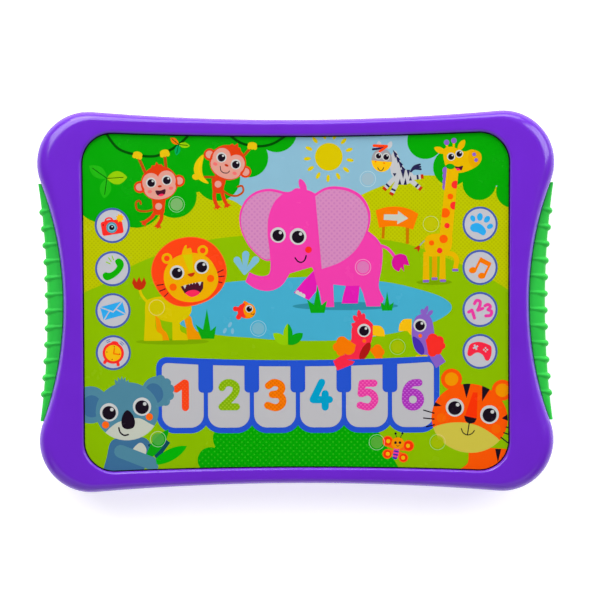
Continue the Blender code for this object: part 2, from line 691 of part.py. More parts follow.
def make_grip(name, side):
    rib_span = RIB_PITCH * RIB_COUNT
    steps = RIB_COUNT * RIB_STEPS
    stations = [-GRIP_HALF_LENGTH]
    stations += [rib_span * (step / steps - 0.5) for step in range(steps + 1)]
    stations += [GRIP_HALF_LENGTH]
    bm = bmesh.new()
    rings = []
    for y in stations:
        ring = [bm.verts.new((side * x, along, z)) for x, along, z in grip_section(y)]
        edges = [bm.edges.new((ring[index - 1], ring[index])) for index in range(len(ring))]
        rings.append(edges)
    for first, second in zip(rings, rings[1:]):
        bmesh.ops.bridge_loops(bm, edges=first + second)
    for end in (rings[0], rings[-1]):
        bmesh.ops.contextual_create(bm, geom=end)
    bmesh.ops.recalc_face_normals(bm, faces=bm.faces)
    grip = solid_from(name, bm)
    middle_z = SEAM_Z + GAP / 2
    for index, y in enumerate((-PEG_OFFSET_Y, PEG_OFFSET_Y)):
        wall_x = case_side_x(y)
        head_end = case_side_x(PEG_OFFSET_Y - PEG_HEAD[0] / 2) - WALL - 2 * GAP
        neck = sorted((side * (head_end - PEG_HEAD_THICKNESS / 2), side * (wall_x + 2 * WALL)))
        head = sorted((side * (head_end - PEG_HEAD_THICKNESS), side * head_end))
        for part, ends, (width, height) in (("peg", neck, PEG_NECK), ("peg_head", head, PEG_HEAD)):
            low = (ends[0], y - width / 2, middle_z - height / 2)
            high = (ends[1], y + width / 2, middle_z + height / 2)
            join(grip, block(f"{name}_{part}_{index}", low, high))
    add_part(grip, "green_satin")


# ---------------------------------------------------------------- touch panel

def make_touch_film():
    holes = [circle(at, ICON_RADIUS + GAP, KEY_SIDES) for _, at in icon_places()]
    holes += [number_key_outline(index, GAP) for index in range(NUMBER_KEYS)]
    add_part(plate("overlay_film", window_outline(SHEET_MARGIN), FILM_Z, holes), "printed_film")


def make_touch_keys():
    middle_z = sum(FILM_Z) / 2
    for name, at in icon_places():
        add_part(rod(f"key_{name}", at, ICON_RADIUS, FILM_Z, KEY_SIDES), "key_white", (*at, middle_z))
    for index in range(NUMBER_KEYS):
        key = plate(f"key_{index + 1}", number_key_outline(index), FILM_Z)
        centre_x = NUMBER_ROW_X + NUMBER_PITCH * (index - (NUMBER_KEYS - 1) / 2)
        add_part(key, "key_white", (centre_x, (NUMBER_TOP_Y + NUMBER_BOTTOM_Y) / 2, middle_z))


def light_holes(radius):
    return [circle(at, radius, SHEET_HOLE_SIDES) for at in LIGHT_SPOTS]


def make_membrane():
    outline = window_outline(SHEET_MARGIN)
    windows = light_holes(SHEET_WINDOW_RADIUS)
    add_part(plate("membrane_upper", outline, UPPER_SHEET_Z, windows), "clear_sheet")
    gaps = [circle(at, CONTACT_HOLE_RADIUS, SHEET_HOLE_SIDES) for _, at in icon_places()]
    row_y = (NUMBER_TOP_Y + NUMBER_BOTTOM_Y) / 2
    for index in range(NUMBER_KEYS):
        centre_x = NUMBER_ROW_X + NUMBER_PITCH * (index - (NUMBER_KEYS - 1) / 2)
        gaps.append(rounded_rectangle((centre_x, row_y), *NUMBER_CONTACT, NUMBER_CONTACT[0] / 2, 2))
    add_part(plate("membrane_spacer", outline, SPACER_SHEET_Z, windows + gaps), "spacer_sheet")
    lower = plate("membrane_lower", outline, LOWER_SHEET_Z, windows)
    board_top = BOARD_Z[1] + GAP
    join(lower, block("tail_drop", (-TAIL_HALF_WIDTH, TAIL_Y[1], board_top),
                      (TAIL_HALF_WIDTH, TAIL_Y[1] + TAIL_THICKNESS, sum(LOWER_SHEET_Z) / 2)))
    join(lower, block("tail_end", (-TAIL_HALF_WIDTH, TAIL_Y[0], board_top),
                      (TAIL_HALF_WIDTH, TAIL_Y[1] + TAIL_THICKNESS / 2, board_top + TAIL_THICKNESS)))
    add_part(lower, "clear_sheet")


def make_support_plate():
    support = plate("support_plate", window_outline(SHEET_MARGIN), SUPPORT_Z)
    for index, at in enumerate(LIGHT_SPOTS):
        join(support, rod(f"well_collar_{index}", at, WELL_COLLAR_RADIUS,
                          (WELL_BOTTOM_Z, sum(SUPPORT_Z) / 2), LIGHT_SIDES))
        cut(support, rod(f"well_{index}", at, WELL_RADIUS,
                         (WELL_BOTTOM_Z - OVERSHOOT, SUPPORT_Z[1] + OVERSHOOT), LIGHT_SIDES))
    for side in (-1, 1):
        at = (side * BOARD_SCREW_X, BOARD_SCREW_Y)
        join(support, rod(f"board_post_{side}", at, BOARD_POST_RADIUS,
                          (BOARD_Z[1] + GAP, sum(SUPPORT_Z) / 2)))
        cut(support, rod(f"board_post_hole_{side}", at, BOARD_SCREW_RADIUS + GAP,
                         (BOARD_Z[1] - OVERSHOOT, BOARD_SCREW_TIP_Z + OVERSHOOT)))
    cut(support, block("tail_slot", (-TAIL_HALF_WIDTH - 2 * OVERSHOOT, TAIL_Y[1] - OVERSHOOT, 0),
                       (TAIL_HALF_WIDTH + 2 * OVERSHOOT, TAIL_Y[1] + 2 * OVERSHOOT, CASE_TOP_Z)))
    add_part(support, "white_plastic")


# ---------------------------------------------------------------- electronics

def make_main_board():
    low, high = BOARD_Y
    outline = [(-BOARD_HALF_X, low), (-BOARD_NOTCH_HALF_X, low), (-BOARD_NOTCH_HALF_X, BOARD_NOTCH_Y),
               (BOARD_NOTCH_HALF_X, BOARD_NOTCH_Y), (BOARD_NOTCH_HALF_X, low), (BOARD_HALF_X, low),
               (BOARD_HALF_X, high), (-BOARD_HALF_X, high)]
    holes = [circle((side * BOARD_SCREW_X, BOARD_SCREW_Y), BOARD_SCREW_RADIUS + 2 * GAP, LIGHT_SIDES)
             for side in (-1, 1)]
    add_part(plate("main_board", outline, BOARD_Z, holes), "board_tan")


def make_lights():
    shoulder = LIGHT_HEIGHT - LIGHT_RADIUS
    dome = [(radius, shoulder + height) for radius, height in arc((0, 0), LIGHT_RADIUS, 90, 0, 3)]
    profile = dome + [(LIGHT_RADIUS, LIGHT_FLANGE_HEIGHT), (LIGHT_FLANGE_RADIUS, LIGHT_FLANGE_HEIGHT),
                      (LIGHT_FLANGE_RADIUS, 0), (0, 0)]
    profile[0] = (0, LIGHT_HEIGHT)
    for index, at in enumerate(LIGHT_SPOTS):
        add_part(turned(f"led_{index + 1}", profile, (*at, BOARD_Z[1] + GAP), LIGHT_SIDES), "light_lens")


def make_sound_chip():
    dome = [(0, CHIP_HEIGHT)]
    dome += [(CHIP_RADIUS * across, CHIP_HEIGHT * up) for across, up in CHIP_DOME]
    dome += [(CHIP_RADIUS, 0), (0, 0)]
    add_part(turned("sound_chip", dome, (*CHIP_AT, BOARD_Z[1] + GAP), SPEAKER_SIDES), "black_resin")


def make_tail_clamp():
    bottom = BOARD_Z[1] + 2 * GAP + TAIL_THICKNESS
    half = TAIL_HALF_WIDTH + 2 * OVERSHOOT
    clamp = block("tail_clamp", (-half, CLAMP_Y[0], bottom), (half, CLAMP_Y[1], bottom + CLAMP_HEIGHT))
    add_part(clamp, "white_plastic")


def make_speaker():
    base = SPEAKER_BOTTOM_Z
    magnet_low, magnet_high = MAGNET_Z
    shell = [(0, magnet_high), (MAGNET_RADIUS, magnet_high), (MAGNET_RADIUS, magnet_low),
             (BASKET_TOP_RADIUS, magnet_low), FRAME_SHOULDER, (FRAME_SHOULDER[0], FRAME_FLANGE),
             (SPEAKER_RADIUS, FRAME_FLANGE), (SPEAKER_RADIUS, 0), (FRAME_OPENING, 0), *BASKET_INSIDE,
             (0, BASKET_INSIDE[-1][1])]
    add_part(turned("speaker_frame", shell, (0, SPEAKER_Y, base), SPEAKER_SIDES), "steel")
    cone = [(0, CONE_OUTSIDE[0][1]), *CONE_OUTSIDE, (CONE_RADIUS, CONE_RIM_Z[1]),
            (CONE_RADIUS, CONE_RIM_Z[0]), *CONE_INSIDE, (0, CONE_DOME_Z)]
    add_part(turned("speaker_cone", cone, (0, SPEAKER_Y, base), SPEAKER_SIDES), "cone_paper")


def make_switch():
    body = centred_block("switch_body", SWITCH_AT, SWITCH_BODY, (SWITCH_BODY_BOTTOM_Z, BOARD_Z[0] - GAP))
    groove = (LEVER[0] + 2 * SWITCH_TRAVEL + 3 * GAP, LEVER[1] + 3 * GAP)
    cut(body, centred_block("switch_groove", SWITCH_AT, groove,
                            (SWITCH_BODY_BOTTOM_Z - OVERSHOOT, SWITCH_GROOVE_TOP_Z)))
    add_part(body, "steel")
    middle = sum(CARRIAGE_Z) / 2
    slider = centred_block("switch_slider", SWITCH_AT, CARRIAGE, CARRIAGE_Z)
    join(slider, centred_block("switch_knob", SWITCH_AT, KNOB, (KNOB_BOTTOM_Z, middle)))
    join(slider, centred_block("switch_lever", SWITCH_AT, LEVER, (middle, LEVER_TOP_Z)))
    for offset in (-1, 0, 1):
        at = (SWITCH_AT[0] + offset * KNOB_GROOVE_PITCH, SWITCH_AT[1])
        cut(slider, centred_block(f"knob_groove_{offset}", at, (KNOB_GROOVE_WIDTH, KNOB[1] * 2),
                                  (-OVERSHOOT, KNOB_BOTTOM_Z + GAP)))
    add_part(slider, "white_plastic", (*SWITCH_AT, middle))


# ---------------------------------------------------------------- battery

def cell_places():
    """Name, place along Y and the side that the positive end faces, for each cell."""
    places = []
    for index in range(CELL_COUNT):
        y = BATTERY_Y + CELL_PITCH * (index - (CELL_COUNT - 1) / 2)
        places.append((f"cell_{index + 1}", y, 1 if index % 2 else -1))
    return places


def make_cells():
    half = CELL_LENGTH / 2
    inner = CELL_RADIUS - CELL_SHOULDER
    nub_radius, nub_length = CELL_NUB
    profile = [(0, half + nub_length), (nub_radius, half + nub_length), (nub_radius, half), (inner, half),
               (CELL_RADIUS, half - CELL_SHOULDER), (CELL_RADIUS, CELL_SHOULDER - half),
               (inner, -half), (0, -half)]
    for name, y, side in cell_places():
        cell = turned(name, profile, (side * (CELL_STAGGER - nub_length / 2), y, CELL_Z), CELL_SIDES)
        cell.rotation_euler = (0, side * math.pi / 2, 0)
        add_part(cell, "cell_jacket")


def spring_coil(name, side, y):
    """Conical coil from a contact plate towards the negative end of a cell."""
    root = BAY_HALF[0] - GAP - CONTACT_THICKNESS / 2
    count = SPRING_TURNS * SPRING_STEPS
    path = []
    for step in range(count + 1):
        share = step / count
        angle = 2 * math.pi * step / SPRING_STEPS
        radius = SPRING_RADII[0] + (SPRING_RADII[1] - SPRING_RADII[0]) * share
        along = root + (SPRING_TIP + SPRING_WIRE + GAP - root) * share
        path.append((side * along, y + radius * math.cos(angle), CELL_Z + radius * math.sin(angle)))
    return tube(name, path, SPRING_WIRE)


def dimple(name, side, y):
    """Pressed bump from a contact plate to the positive nub of a cell."""
    root = BAY_HALF[0] - GAP - CONTACT_THICKNESS / 2
    nub_end = CELL_LENGTH / 2 + CELL_NUB[1] / 2 + CELL_STAGGER
    tip = nub_end + GAP
    profile = [(0, root - tip), (DIMPLE_RADIUS * DIMPLE_TIP_SHARE, root - tip), (DIMPLE_RADIUS, 0), (0, 0)]
    bump = turned(name, profile, (side * root, y, CELL_Z), DIMPLE_SIDES)
    bump.rotation_euler = (0, -side * math.pi / 2, 0)
    return bump


def contact_plate(name, side, y_range):
    outer = BAY_HALF[0] - GAP
    ends = sorted((side * outer, side * (outer - CONTACT_THICKNESS)))
    return block(name, (ends[0], y_range[0] - CONTACT_HALF_WIDTH, CONTACT_Z[0]),
                 (ends[1], y_range[1] + CONTACT_HALF_WIDTH, CONTACT_Z[1]))


def solder_tab(name, side, y):
    ends = sorted((side * (BAY_HALF[0] - GAP - CONTACT_THICKNESS / 2), side * TAB_END_X))
    half = CONTACT_THICKNESS / 2
    return block(name, (ends[0], y - TAB_HALF_WIDTH, TAB_Z - half),
                 (ends[1], y + TAB_HALF_WIDTH, TAB_Z + half))


def make_contacts():
    first, second, third = [y for _, y, _ in cell_places()]
    plus = contact_plate("contact_plus", -1, (first, first))
    join(plus, dimple("plus_dimple", -1, first), solder_tab("plus_tab", -1, first))
    add_part(plus, "steel")
    minus = contact_plate("contact_minus", 1, (third, third))
    join(minus, spring_coil("minus_spring", 1, third), solder_tab("minus_tab", 1, third))
    add_part(minus, "steel")
    left = contact_plate("contact_bridge_left", -1, (second, third))
    join(left, spring_coil("left_spring", -1, second), dimple("left_dimple", -1, third))
    add_part(left, "steel")
    right = contact_plate("contact_bridge_right", 1, (first, second))
    join(right, spring_coil("right_spring", 1, first), dimple("right_dimple", 1, second))
    add_part(right, "steel")


def make_battery_door():
    hinge = (0, DOOR_Y[0], 0)
    middle_y = sum(DOOR_Y) / 2
    outline = rounded_rectangle((0, middle_y), DOOR_HALF_X, middle_y - DOOR_Y[0], DOOR_CORNER_RADIUS, 2)
    door = plate("battery_door", outline, (0, DOOR_THICKNESS))
    neck_start = DOOR_Y[1] - OVERSHOOT
    join(door, block("door_tab_neck", (-DOOR_TAB_RADIUS, neck_start, 0),
                     (DOOR_TAB_RADIUS, DOOR_TAB_Y, DOOR_THICKNESS)))
    join(door, rod("door_tab", (0, DOOR_TAB_Y), DOOR_TAB_RADIUS, (0, DOOR_TAB_THICKNESS), DOOR_TAB_SIDES))
    cut(door, rod("door_screw_recess", (0, DOOR_TAB_Y), DOOR_SCREW_HEAD_RADIUS + GAP,
                  (-OVERSHOOT, DOOR_SCREW_HEAD_Z[1] + GAP)))
    cut(door, rod("door_screw_way", (0, DOOR_TAB_Y), DOOR_SCREW_RADIUS + GAP,
                  (-OVERSHOOT, DOOR_TAB_THICKNESS + OVERSHOOT)))
    for side in (-1, 1):
        centre = side * TONGUE_X
        low = (centre - TONGUE_HALF_WIDTH, DOOR_Y[0] - TONGUE_LENGTH, DOOR_THICKNESS - TONGUE_THICKNESS)
        high = (centre + TONGUE_HALF_WIDTH, DOOR_Y[0] + OVERSHOOT, DOOR_THICKNESS)
        join(door, block(f"door_tongue_{side}", low, high))
    return add_part(door, "purple_gloss", hinge)


# ---------------------------------------------------------------- fasteners and leads

def make_screw(name, at, head_z, tip_z, head_radius, radius, parent=FRAME, finish="steel"):
    """Round-headed screw pointing up, with a cross recess in its head."""
    height = tip_z - head_z[0]
    head = head_z[1] - head_z[0]
    profile = [(0, height), (radius * SCREW_POINT_SHARE, height), (radius, height - radius), (radius, head),
               (head_radius, head), (head_radius, head * HEAD_ROUND_SHARE),
               (head_radius * HEAD_FACE_SHARE, 0), (0, 0)]
    screw = turned(name, profile, (*at, head_z[0]), SCREW_SIDES)
    recess_z = (head_z[0] - OVERSHOOT, head_z[0] + RECESS_DEPTH)
    length = head_radius * RECESS_LENGTH_SHARE
    for turn, size in enumerate(((length, RECESS_WIDTH), (RECESS_WIDTH, length))):
        cut(screw, centred_block(f"{name}_recess_{turn}", at, size, recess_z))
    add_part(screw, finish, parent=parent)


def make_screws(door):
    for index, at in enumerate(corners(CASE_SCREW_X, CASE_SCREW_Y)):
        make_screw(f"case_screw_{index + 1}", at, CASE_SCREW_HEAD_Z, CASE_SCREW_TIP_Z,
                   CASE_SCREW_HEAD_RADIUS, CASE_SCREW_RADIUS)
    head_top = BOARD_Z[0] - GAP
    for index, side in enumerate((-1, 1)):
        make_screw(f"board_screw_{index + 1}", (side * BOARD_SCREW_X, BOARD_SCREW_Y),
                   (head_top - BOARD_SCREW_HEAD, head_top), BOARD_SCREW_TIP_Z,
                   BOARD_SCREW_HEAD_RADIUS, BOARD_SCREW_RADIUS)
    make_screw("door_screw", (0, DOOR_TAB_Y), DOOR_SCREW_HEAD_Z, DOOR_SCREW_TIP_Z,
               DOOR_SCREW_HEAD_RADIUS, DOOR_SCREW_RADIUS, parent=door)


def smooth_path(points):
    """Points about a wire step apart on a smooth curve through the given ones."""
    route = [Vector(point) for point in points]
    route = [2 * route[0] - route[1], *route, 2 * route[-1] - route[-2]]
    path = []
    for before, start, end, after in zip(route, route[1:], route[2:], route[3:]):
        steps = max(1, round((end - start).length / WIRE_STEP))
        for step in range(steps):
            t = step / steps
            path.append(0.5 * (2 * start + (end - before) * t
                               + (2 * before - 5 * start + 4 * end - after) * t ** 2
                               + (3 * start - before - 3 * end + after) * t ** 3))
    path.append(route[-2])
    return path


def lead_route(side, start, steps, end):
    """Points from a start to the board's underside; the steps run outwards on one side."""
    x, y, z = start
    route = [(side * (x + out), y + along, z + up) for out, along, up in steps]
    return route + [(side * (x + end[0]), y + end[1], BOARD_Z[0] - GAP)]


def make_leads():
    first, _, third = [y for _, y, _ in cell_places()]
    speaker_start = (SPEAKER_LEAD_START[0], SPEAKER_Y + SPEAKER_LEAD_START[1], SPEAKER_LEAD_START[2])
    for name, finish, side, y in (("plus", "red_lead", -1, first), ("minus", "black_lead", 1, third)):
        route = lead_route(side, (TAB_END_X + GAP, y, TAB_Z), CELL_LEAD, CELL_LEAD_END)
        add_part(tube(f"lead_{name}", smooth_path(route), WIRE_RADIUS), finish)
    for name, finish, side in (("red", "red_lead", -1), ("black", "black_lead", 1)):
        route = lead_route(side, speaker_start, SPEAKER_LEAD, SPEAKER_LEAD_END)
        add_part(tube(f"speaker_lead_{name}", smooth_path(route), WIRE_RADIUS), finish)


def build():
    make_front_bezel()
    make_rear_casing()
    make_grip("left_grip", -1)
    make_grip("right_grip", 1)
    make_touch_film()
    make_touch_keys()
    make_membrane()
    make_support_plate()
    make_main_board()
    make_lights()
    make_sound_chip()
    make_tail_clamp()
    make_speaker()
    make_switch()
    make_cells()
    make_contacts()
    door = make_battery_door()
    make_screws(door)
    make_leads()


build()
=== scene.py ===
"""Looks of the kids toy tablet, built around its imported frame.

Pieces are in metres, in the frame's own axes. The casing, the grips and the print are laid out in
millimetres, x to the right and y up from the panel's middle, and scaled by MM as they become meshes.
"""

import math
from contextlib import contextmanager

import bmesh
import bpy
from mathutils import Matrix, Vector
from mathutils.geometry import delaunay_2d_cdt


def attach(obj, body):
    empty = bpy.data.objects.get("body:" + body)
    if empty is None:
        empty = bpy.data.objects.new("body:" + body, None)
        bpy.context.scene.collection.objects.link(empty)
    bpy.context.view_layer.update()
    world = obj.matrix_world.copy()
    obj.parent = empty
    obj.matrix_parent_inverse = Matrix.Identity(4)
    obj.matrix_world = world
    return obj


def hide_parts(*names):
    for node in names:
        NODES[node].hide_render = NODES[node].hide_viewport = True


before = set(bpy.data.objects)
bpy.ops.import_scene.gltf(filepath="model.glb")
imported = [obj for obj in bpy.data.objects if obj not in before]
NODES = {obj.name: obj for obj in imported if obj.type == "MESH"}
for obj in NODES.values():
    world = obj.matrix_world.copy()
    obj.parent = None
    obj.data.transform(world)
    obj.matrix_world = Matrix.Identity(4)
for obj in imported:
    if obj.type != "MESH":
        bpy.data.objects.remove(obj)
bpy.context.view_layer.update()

MM = 0.001

# ---------------------------------------------------------------- driving dimensions, in mm

# Casing and window outlines: corner centre, corner radius, and how far the edges curve inwards
CASE_CORNER = (96.0, 64.7)
CASE_RADIUS = 24.0
CASE_WAIST = (4.0, 11.7)          # of the long edges, of the short edges
WINDOW_CORNER = (84.9, 64.5)
WINDOW_RADIUS = 14.1
WINDOW_WAIST = (1.7, 0.15)
OUTLINE_STEPS = (28, 20, 32)      # segments of half a short edge, a corner and half a long edge
FILM_MARGIN = 2.2                 # how far the film reaches under the rim
RIM_SHADOW_WIDTH = 0.55                # painted shadow of the rim: a black band this wide round the print, inside the rim
PRINT_SCALE = 0.995               # of everything drawn on it
PRINT_SHIFT = (-0.3, 0.3)

EDGE_HEIGHT = 5.0                 # height of the bezel's round front edge
EDGE_SHARE = 0.36                 # its reach across the face, as a share of the face's width there
EDGE_REACH = (3.0, 7.0)           # least and greatest reach
EDGE_STEPS = 12
INNER_BEND = 3.2                  # round inner corner under the front edge
LIP_RADIUS = 1.4                  # inner edge of the bezel, round the window
BACK_EDGE = 5.0                   # radius of the rear casing's back edge
SKIN_GAP = 0.02                   # points this close to the casing's outside are on it
WELD = 0.000001                   # in metres
WALL = 2.2
CASE_TOP = 27.0
RIM_UNDERSIDE = 25.3
SHELL_FOOT = 13.5                 # foot of the bezel's wall, above the seam
SEAM_BREAK = 0.4                  # the wall's foot is broken by this much
SCREW_X = 107.0
SCREW_Y = 73.0
BOSS_RADIUS = 3.6
BOSS_BORE = 1.7
BOSS_SINK = 0.2                   # how far the screw posts reach into the rim
FILM_Z = (0.0242, 0.0250)         # in metres
CUT_GAP = 0.0005                  # points of the print closer than this are one
ZONE_GAP = 0.03                   # round each touch zone, so that it clears the film as it is pressed

# Grips
SEAM_GAP = 0.32
GRIP_HALF = 55.4
GRIP_MIDDLE_X = 116.6
GRIP_TIP_X = 120.2
GRIP_MIDDLE_Z = 13.0
GRIP_HEIGHT = (9.4, 8.2)          # half heights at the middle and the tips
GRIP_ROUNDNESS = 0.5              # 1 gives an ellipse, smaller values a squarer section
GRIP_STEPS = 26
GRIP_PITCH = 0.4                  # between sections
RIB_COUNT = 12
RIB_PITCH = 7.73
RIB_HALF = (0.5, 1.6)             # half width beside the casing and at the outside
RIB_RISE = (0.3, 1.35)
RIB_RAISE = 0.6                   # how far the ribs' level edges lie above their middles
RIB_HALF_POWER = 1.6              # the greater, the later a rib widens on its way to the outside
RIB_RISE_POWER = 1.3              # the same for its height
RIB_ROUNDNESS = 1.3               # of its crest: 1 gives a half ellipse, greater values a narrower one
RIB_FADE = 1.5                    # how it fades sideways towards the casing
RIB_SPREAD = 0.75                 # share of its height that also goes up and down

# Keys printed on the film
ICON_RADIUS = 8.22
ICON_RING = 0.98
ICON_X = (-85.1, 86.0)            # of the left and the right column
ICON_Y = (35.8, 15.7, -3.9, -23.5)
KEY_PITCH = 21.5
KEY_ROW_X = 0.95
KEY_COUNT = 6
KEY_HALF = 9.75
KEY_NECK_HALF = 7.3
KEY_SHOULDER = -42.4
KEY_BOTTOM = -58.8
KEY_BEND = 6.1
KEY_TOP_RADIUS = 2.7
KEY_SHOULDER_RADIUS = 2.0
ROW_TOP = -25.4                   # top edge of the blue band at the row's ends
ROW_SAG = 1.9                     # how far it dips in the middle
ROW_HALF = 65.0
ROW_BAND = 2.9
FRAME_BORDER = 2.6
FRAME_TOP_RADIUS = 5.0
DIGIT_WIDTH = 3.4
DIGIT_Y = -43.6
DIGIT_BOX = (6, 8.4)              # half the box that holds a digit's dots
LOOP_Y = -2.3                     # of the loop of the 6, from the digit's middle
LOOP_RADIUS = 3.55
DOT_PITCH = 0.9375                # between rows of dots; each row is shifted by as much
DOT_RADIUS = 0.36
DOT_REACH = 6                     # diagonals of dots on each side of the middle one

# Where the lights shine through: place and tone of the print there
SPOTS = (
    (-55.1, 45.5, (131, 181, 114)), (33.8, 57.0, (160, 186, 199)), (63.1, 36.0, (193, 194, 9)),
    (31.5, 16.0, (219, 126, 184)), (-64.7, -2.5, (206, 194, 4)), (-17.4, -12.4, (123, 182, 201)),
    (47.5, -21.2, (170, 191, 7)), (-64.5, -64.1, (77, 170, 69)), (37.8, -65.9, (93, 174, 62)),
    (66.2, -65.9, (168, 189, 7)),
)
SPOT_RADIUS = 2.9
SPOT_RING = (3.5, 3.75)
RING_SHARE = (0.2, 0.42)          # of the ring's paint over yellow and lime, and elsewhere
LIME_BLUE = 40                    # tones with no more blue than this are yellow or lime

# ---------------------------------------------------------------- colours


def linear(value):
    value /= 255
    return value / 12.92 if value <= 0.04045 else ((value + 0.055) / 1.055) ** 2.4


def colour(red, green, blue):
    """A colour as it looks on a screen, 0 to 255, as linear light."""
    return (linear(red), linear(green), linear(blue))


def mixed(below, above, share):
    return tuple(a * (1 - share) + b * share for a, b in zip(below, above))


INK = {name: colour(*tone) for name, tone in {
    "black": (26, 16, 30), "navy": (38, 36, 78), "white": (206, 207, 206), "key_white": (193, 192, 196),
    "disc_white": (196, 196, 204), "ring_blue": (74, 96, 176), "frame_blue": (38, 84, 208),
    "canopy": (5, 168, 5), "leaf_dim": (34, 184, 18), "leaf_teal": (0, 168, 92), "leaf_bright": (6, 182, 8),
    "vine": (0, 76, 2), "hill": (190, 198, 0), "lime": (142, 191, 0), "lime_leaf": (150, 205, 5),
    "sky": (140, 188, 210), "pond": (70, 175, 208), "pond_shade": (48, 143, 165), "splash": (126, 186, 212),
    "bush": (4, 168, 2), "grass": (12, 165, 18), "sun": (217, 195, 0), "monkey": (226, 62, 16),
    "monkey_dim": (190, 76, 14), "face_pink": (226, 158, 143), "hand": (232, 192, 12),
    "banana": (231, 199, 6), "elephant": (243, 63, 172), "elephant_far": (230, 28, 180),
    "elephant_ear": (213, 139, 188), "tuft_pink": (218, 20, 150), "mane": (255, 68, 20),
    "mane_edge": (250, 104, 34), "lion": (240, 176, 2), "lion_body": (216, 196, 0),
    "lion_far": (240, 150, 0), "lion_stripe": (214, 200, 0), "tail_red": (196, 46, 12),
    "orange": (250, 122, 2), "orange_deep": (255, 96, 4), "post": (204, 116, 0), "giraffe": (233, 182, 0),
    "giraffe_far": (228, 162, 0), "red": (252, 46, 40), "pink_red": (250, 42, 70),
    "dark_red": (176, 26, 22), "purple": (138, 96, 196), "deep_blue": (70, 46, 176), "tiger": (255, 88, 4),
    "tiger_nose": (255, 52, 6), "tiger_ear": (246, 150, 0), "muzzle": (210, 196, 72),
    "koala": (80, 136, 158), "koala_dark": (62, 112, 152), "koala_white": (200, 204, 190),
    "stem": (16, 76, 92), "tongue": (250, 42, 92), "mouth": (76, 22, 42), "cheek": (255, 104, 20),
    "grey": (158, 156, 160), "zebra": (196, 197, 200), "icon_cyan": (46, 170, 238),
    "camera_teal": (70, 150, 165), "icon_green": (16, 176, 4), "icon_pink": (236, 62, 162),
    "icon_yellow": (250, 192, 16), "teal": (3, 160, 202), "digit_purple": (172, 52, 186),
    "lime_digit": (132, 178, 8),
}.items()}

PURPLE = (0.168, 0.023, 0.66)
GREEN = (0.026, 0.61, 0.062)

# Inks of the backdrop that aren't plain: dot colour, pitch and dot radius, or None for a soft mottling
SHADES = {
    "hill": (colour(172, 179, 0), 1.35, 0.34),
    "elephant_ear": (colour(203, 127, 184), 1.8, 0.5),
    "bush": (colour(40, 186, 22), 2.0, 0.42),
    "canopy": None,
    "sky": None,
    "lime": None,
    "pond": None,
}
DOT_SOFTNESS = 0.06               # of the edges of the backdrop's dots, as a share of their pitch
FILM_ROUGHNESS = 0.24
FILM_SHINE = 0.22

# Light and camera
EXPOSURE = 1.03
FLOOR_HALF = 3.0
FLOOR_GLOW = 0.64
ROOM_LIGHT = 0.8                  # at the horizon
ROOM_LIGHT_ABOVE = 0.012
ROOM_FADE = (0.1, 0.45)           # heights of a direction, between which it fades
LIGHTS_AIM = (0, 0, 0.02)
CAMERA_LENS = 100
CAMERA_SENSOR = 36
CAMERA_SPAN = 280.0               # width of the view, at the panel
CAMERA_AT = (1.9, 0.9)
CAMERA_TILT = (2.4, -0.2)         # degrees: leaning over from the panel's top edge, and turned
CAMERA_FOCUS_Z = 20.0

CELL_BAND = (0.0105, 0.0110)      # in metres: where the cells turn copper-coloured

PALE = colour(232, 240, 232)
DARK = (0.0, 0.0, 0.0)

# ---------------------------------------------------------------- outlines


def arc(centre, radius, start, end, steps):
    """Points from one angle to another, in degrees, both ends included."""
    angles = [math.radians(start + (end - start) * step / steps) for step in range(steps + 1)]
    return [(centre[0] + radius * math.cos(a), centre[1] + radius * math.sin(a)) for a in angles]


def waist_arcs(corner, waist):
    """The circles through the corner centres that the edges bend about: centre and radius, sides first."""
    corner_x, corner_y = corner
    top_reach = (corner_x ** 2 + waist[0] ** 2) / (2 * waist[0])
    side_reach = (corner_y ** 2 + waist[1] ** 2) / (2 * waist[1])
    side_centre = (corner_x + math.sqrt(side_reach ** 2 - corner_y ** 2), 0)
    top_centre = (0, corner_y + math.sqrt(top_reach ** 2 - corner_x ** 2))
    return side_centre, side_reach, top_centre, top_reach


def waisted_outline(corner, radius, waist, steps):
    """Four round corners joined by tangent arcs that curve inwards, anticlockwise from +X."""
    side, bend, top = steps
    side_centre, side_reach, top_centre, top_reach = waist_arcs(corner, waist)
    lean = math.degrees(math.asin(corner[1] / side_reach))
    tilt = math.degrees(math.asin(corner[0] / top_reach))
    quarter = arc(side_centre, side_reach - radius, 180, 180 - lean, side)[:-1]
    quarter += arc(corner, radius, -lean, 90 + tilt, bend)[:-1]
    quarter += arc(top_centre, top_reach - radius, 270 + tilt, 270, top)
    upper = quarter + [(-x, y) for x, y in reversed(quarter)][1:]
    return upper + [(x, -y) for x, y in reversed(upper)][1:-1]


def case_outline(inset=0.0):
    return waisted_outline(CASE_CORNER, CASE_RADIUS - inset, CASE_WAIST, OUTLINE_STEPS)


def window_outline(grow=0.0):
    return waisted_outline(WINDOW_CORNER, WINDOW_RADIUS + grow, WINDOW_WAIST, OUTLINE_STEPS)


def case_side_x(y):
    """Half width of the casing at a height within its side waist."""
    centre, reach, *_ = waist_arcs(CASE_CORNER, CASE_WAIST)
    return centre[0] - math.sqrt((reach - CASE_RADIUS) ** 2 - y ** 2)


# ---------------------------------------------------------------- drawing in the plane


def turned(points, centre, degrees):
    """The points, turned anticlockwise about a centre."""
    cosine, sine = math.cos(math.radians(degrees)), math.sin(math.radians(degrees))
    made = []
    for x, y in points:
        dx, dy = x - centre[0], y - centre[1]
        made.append((centre[0] + dx * cosine - dy * sine, centre[1] + dx * sine + dy * cosine))
    return made


def oval(x, y, half_x, half_y=None, turn=0.0):
    half_y = half_x if half_y is None else half_y
    steps = max(10, min(72, round(9 * math.sqrt(max(half_x, half_y)) + 4)))
    angles = [2 * math.pi * step / steps for step in range(steps)]
    ring = [(x + half_x * math.cos(a), y + half_y * math.sin(a)) for a in angles]
    return turned(ring, (x, y), turn)


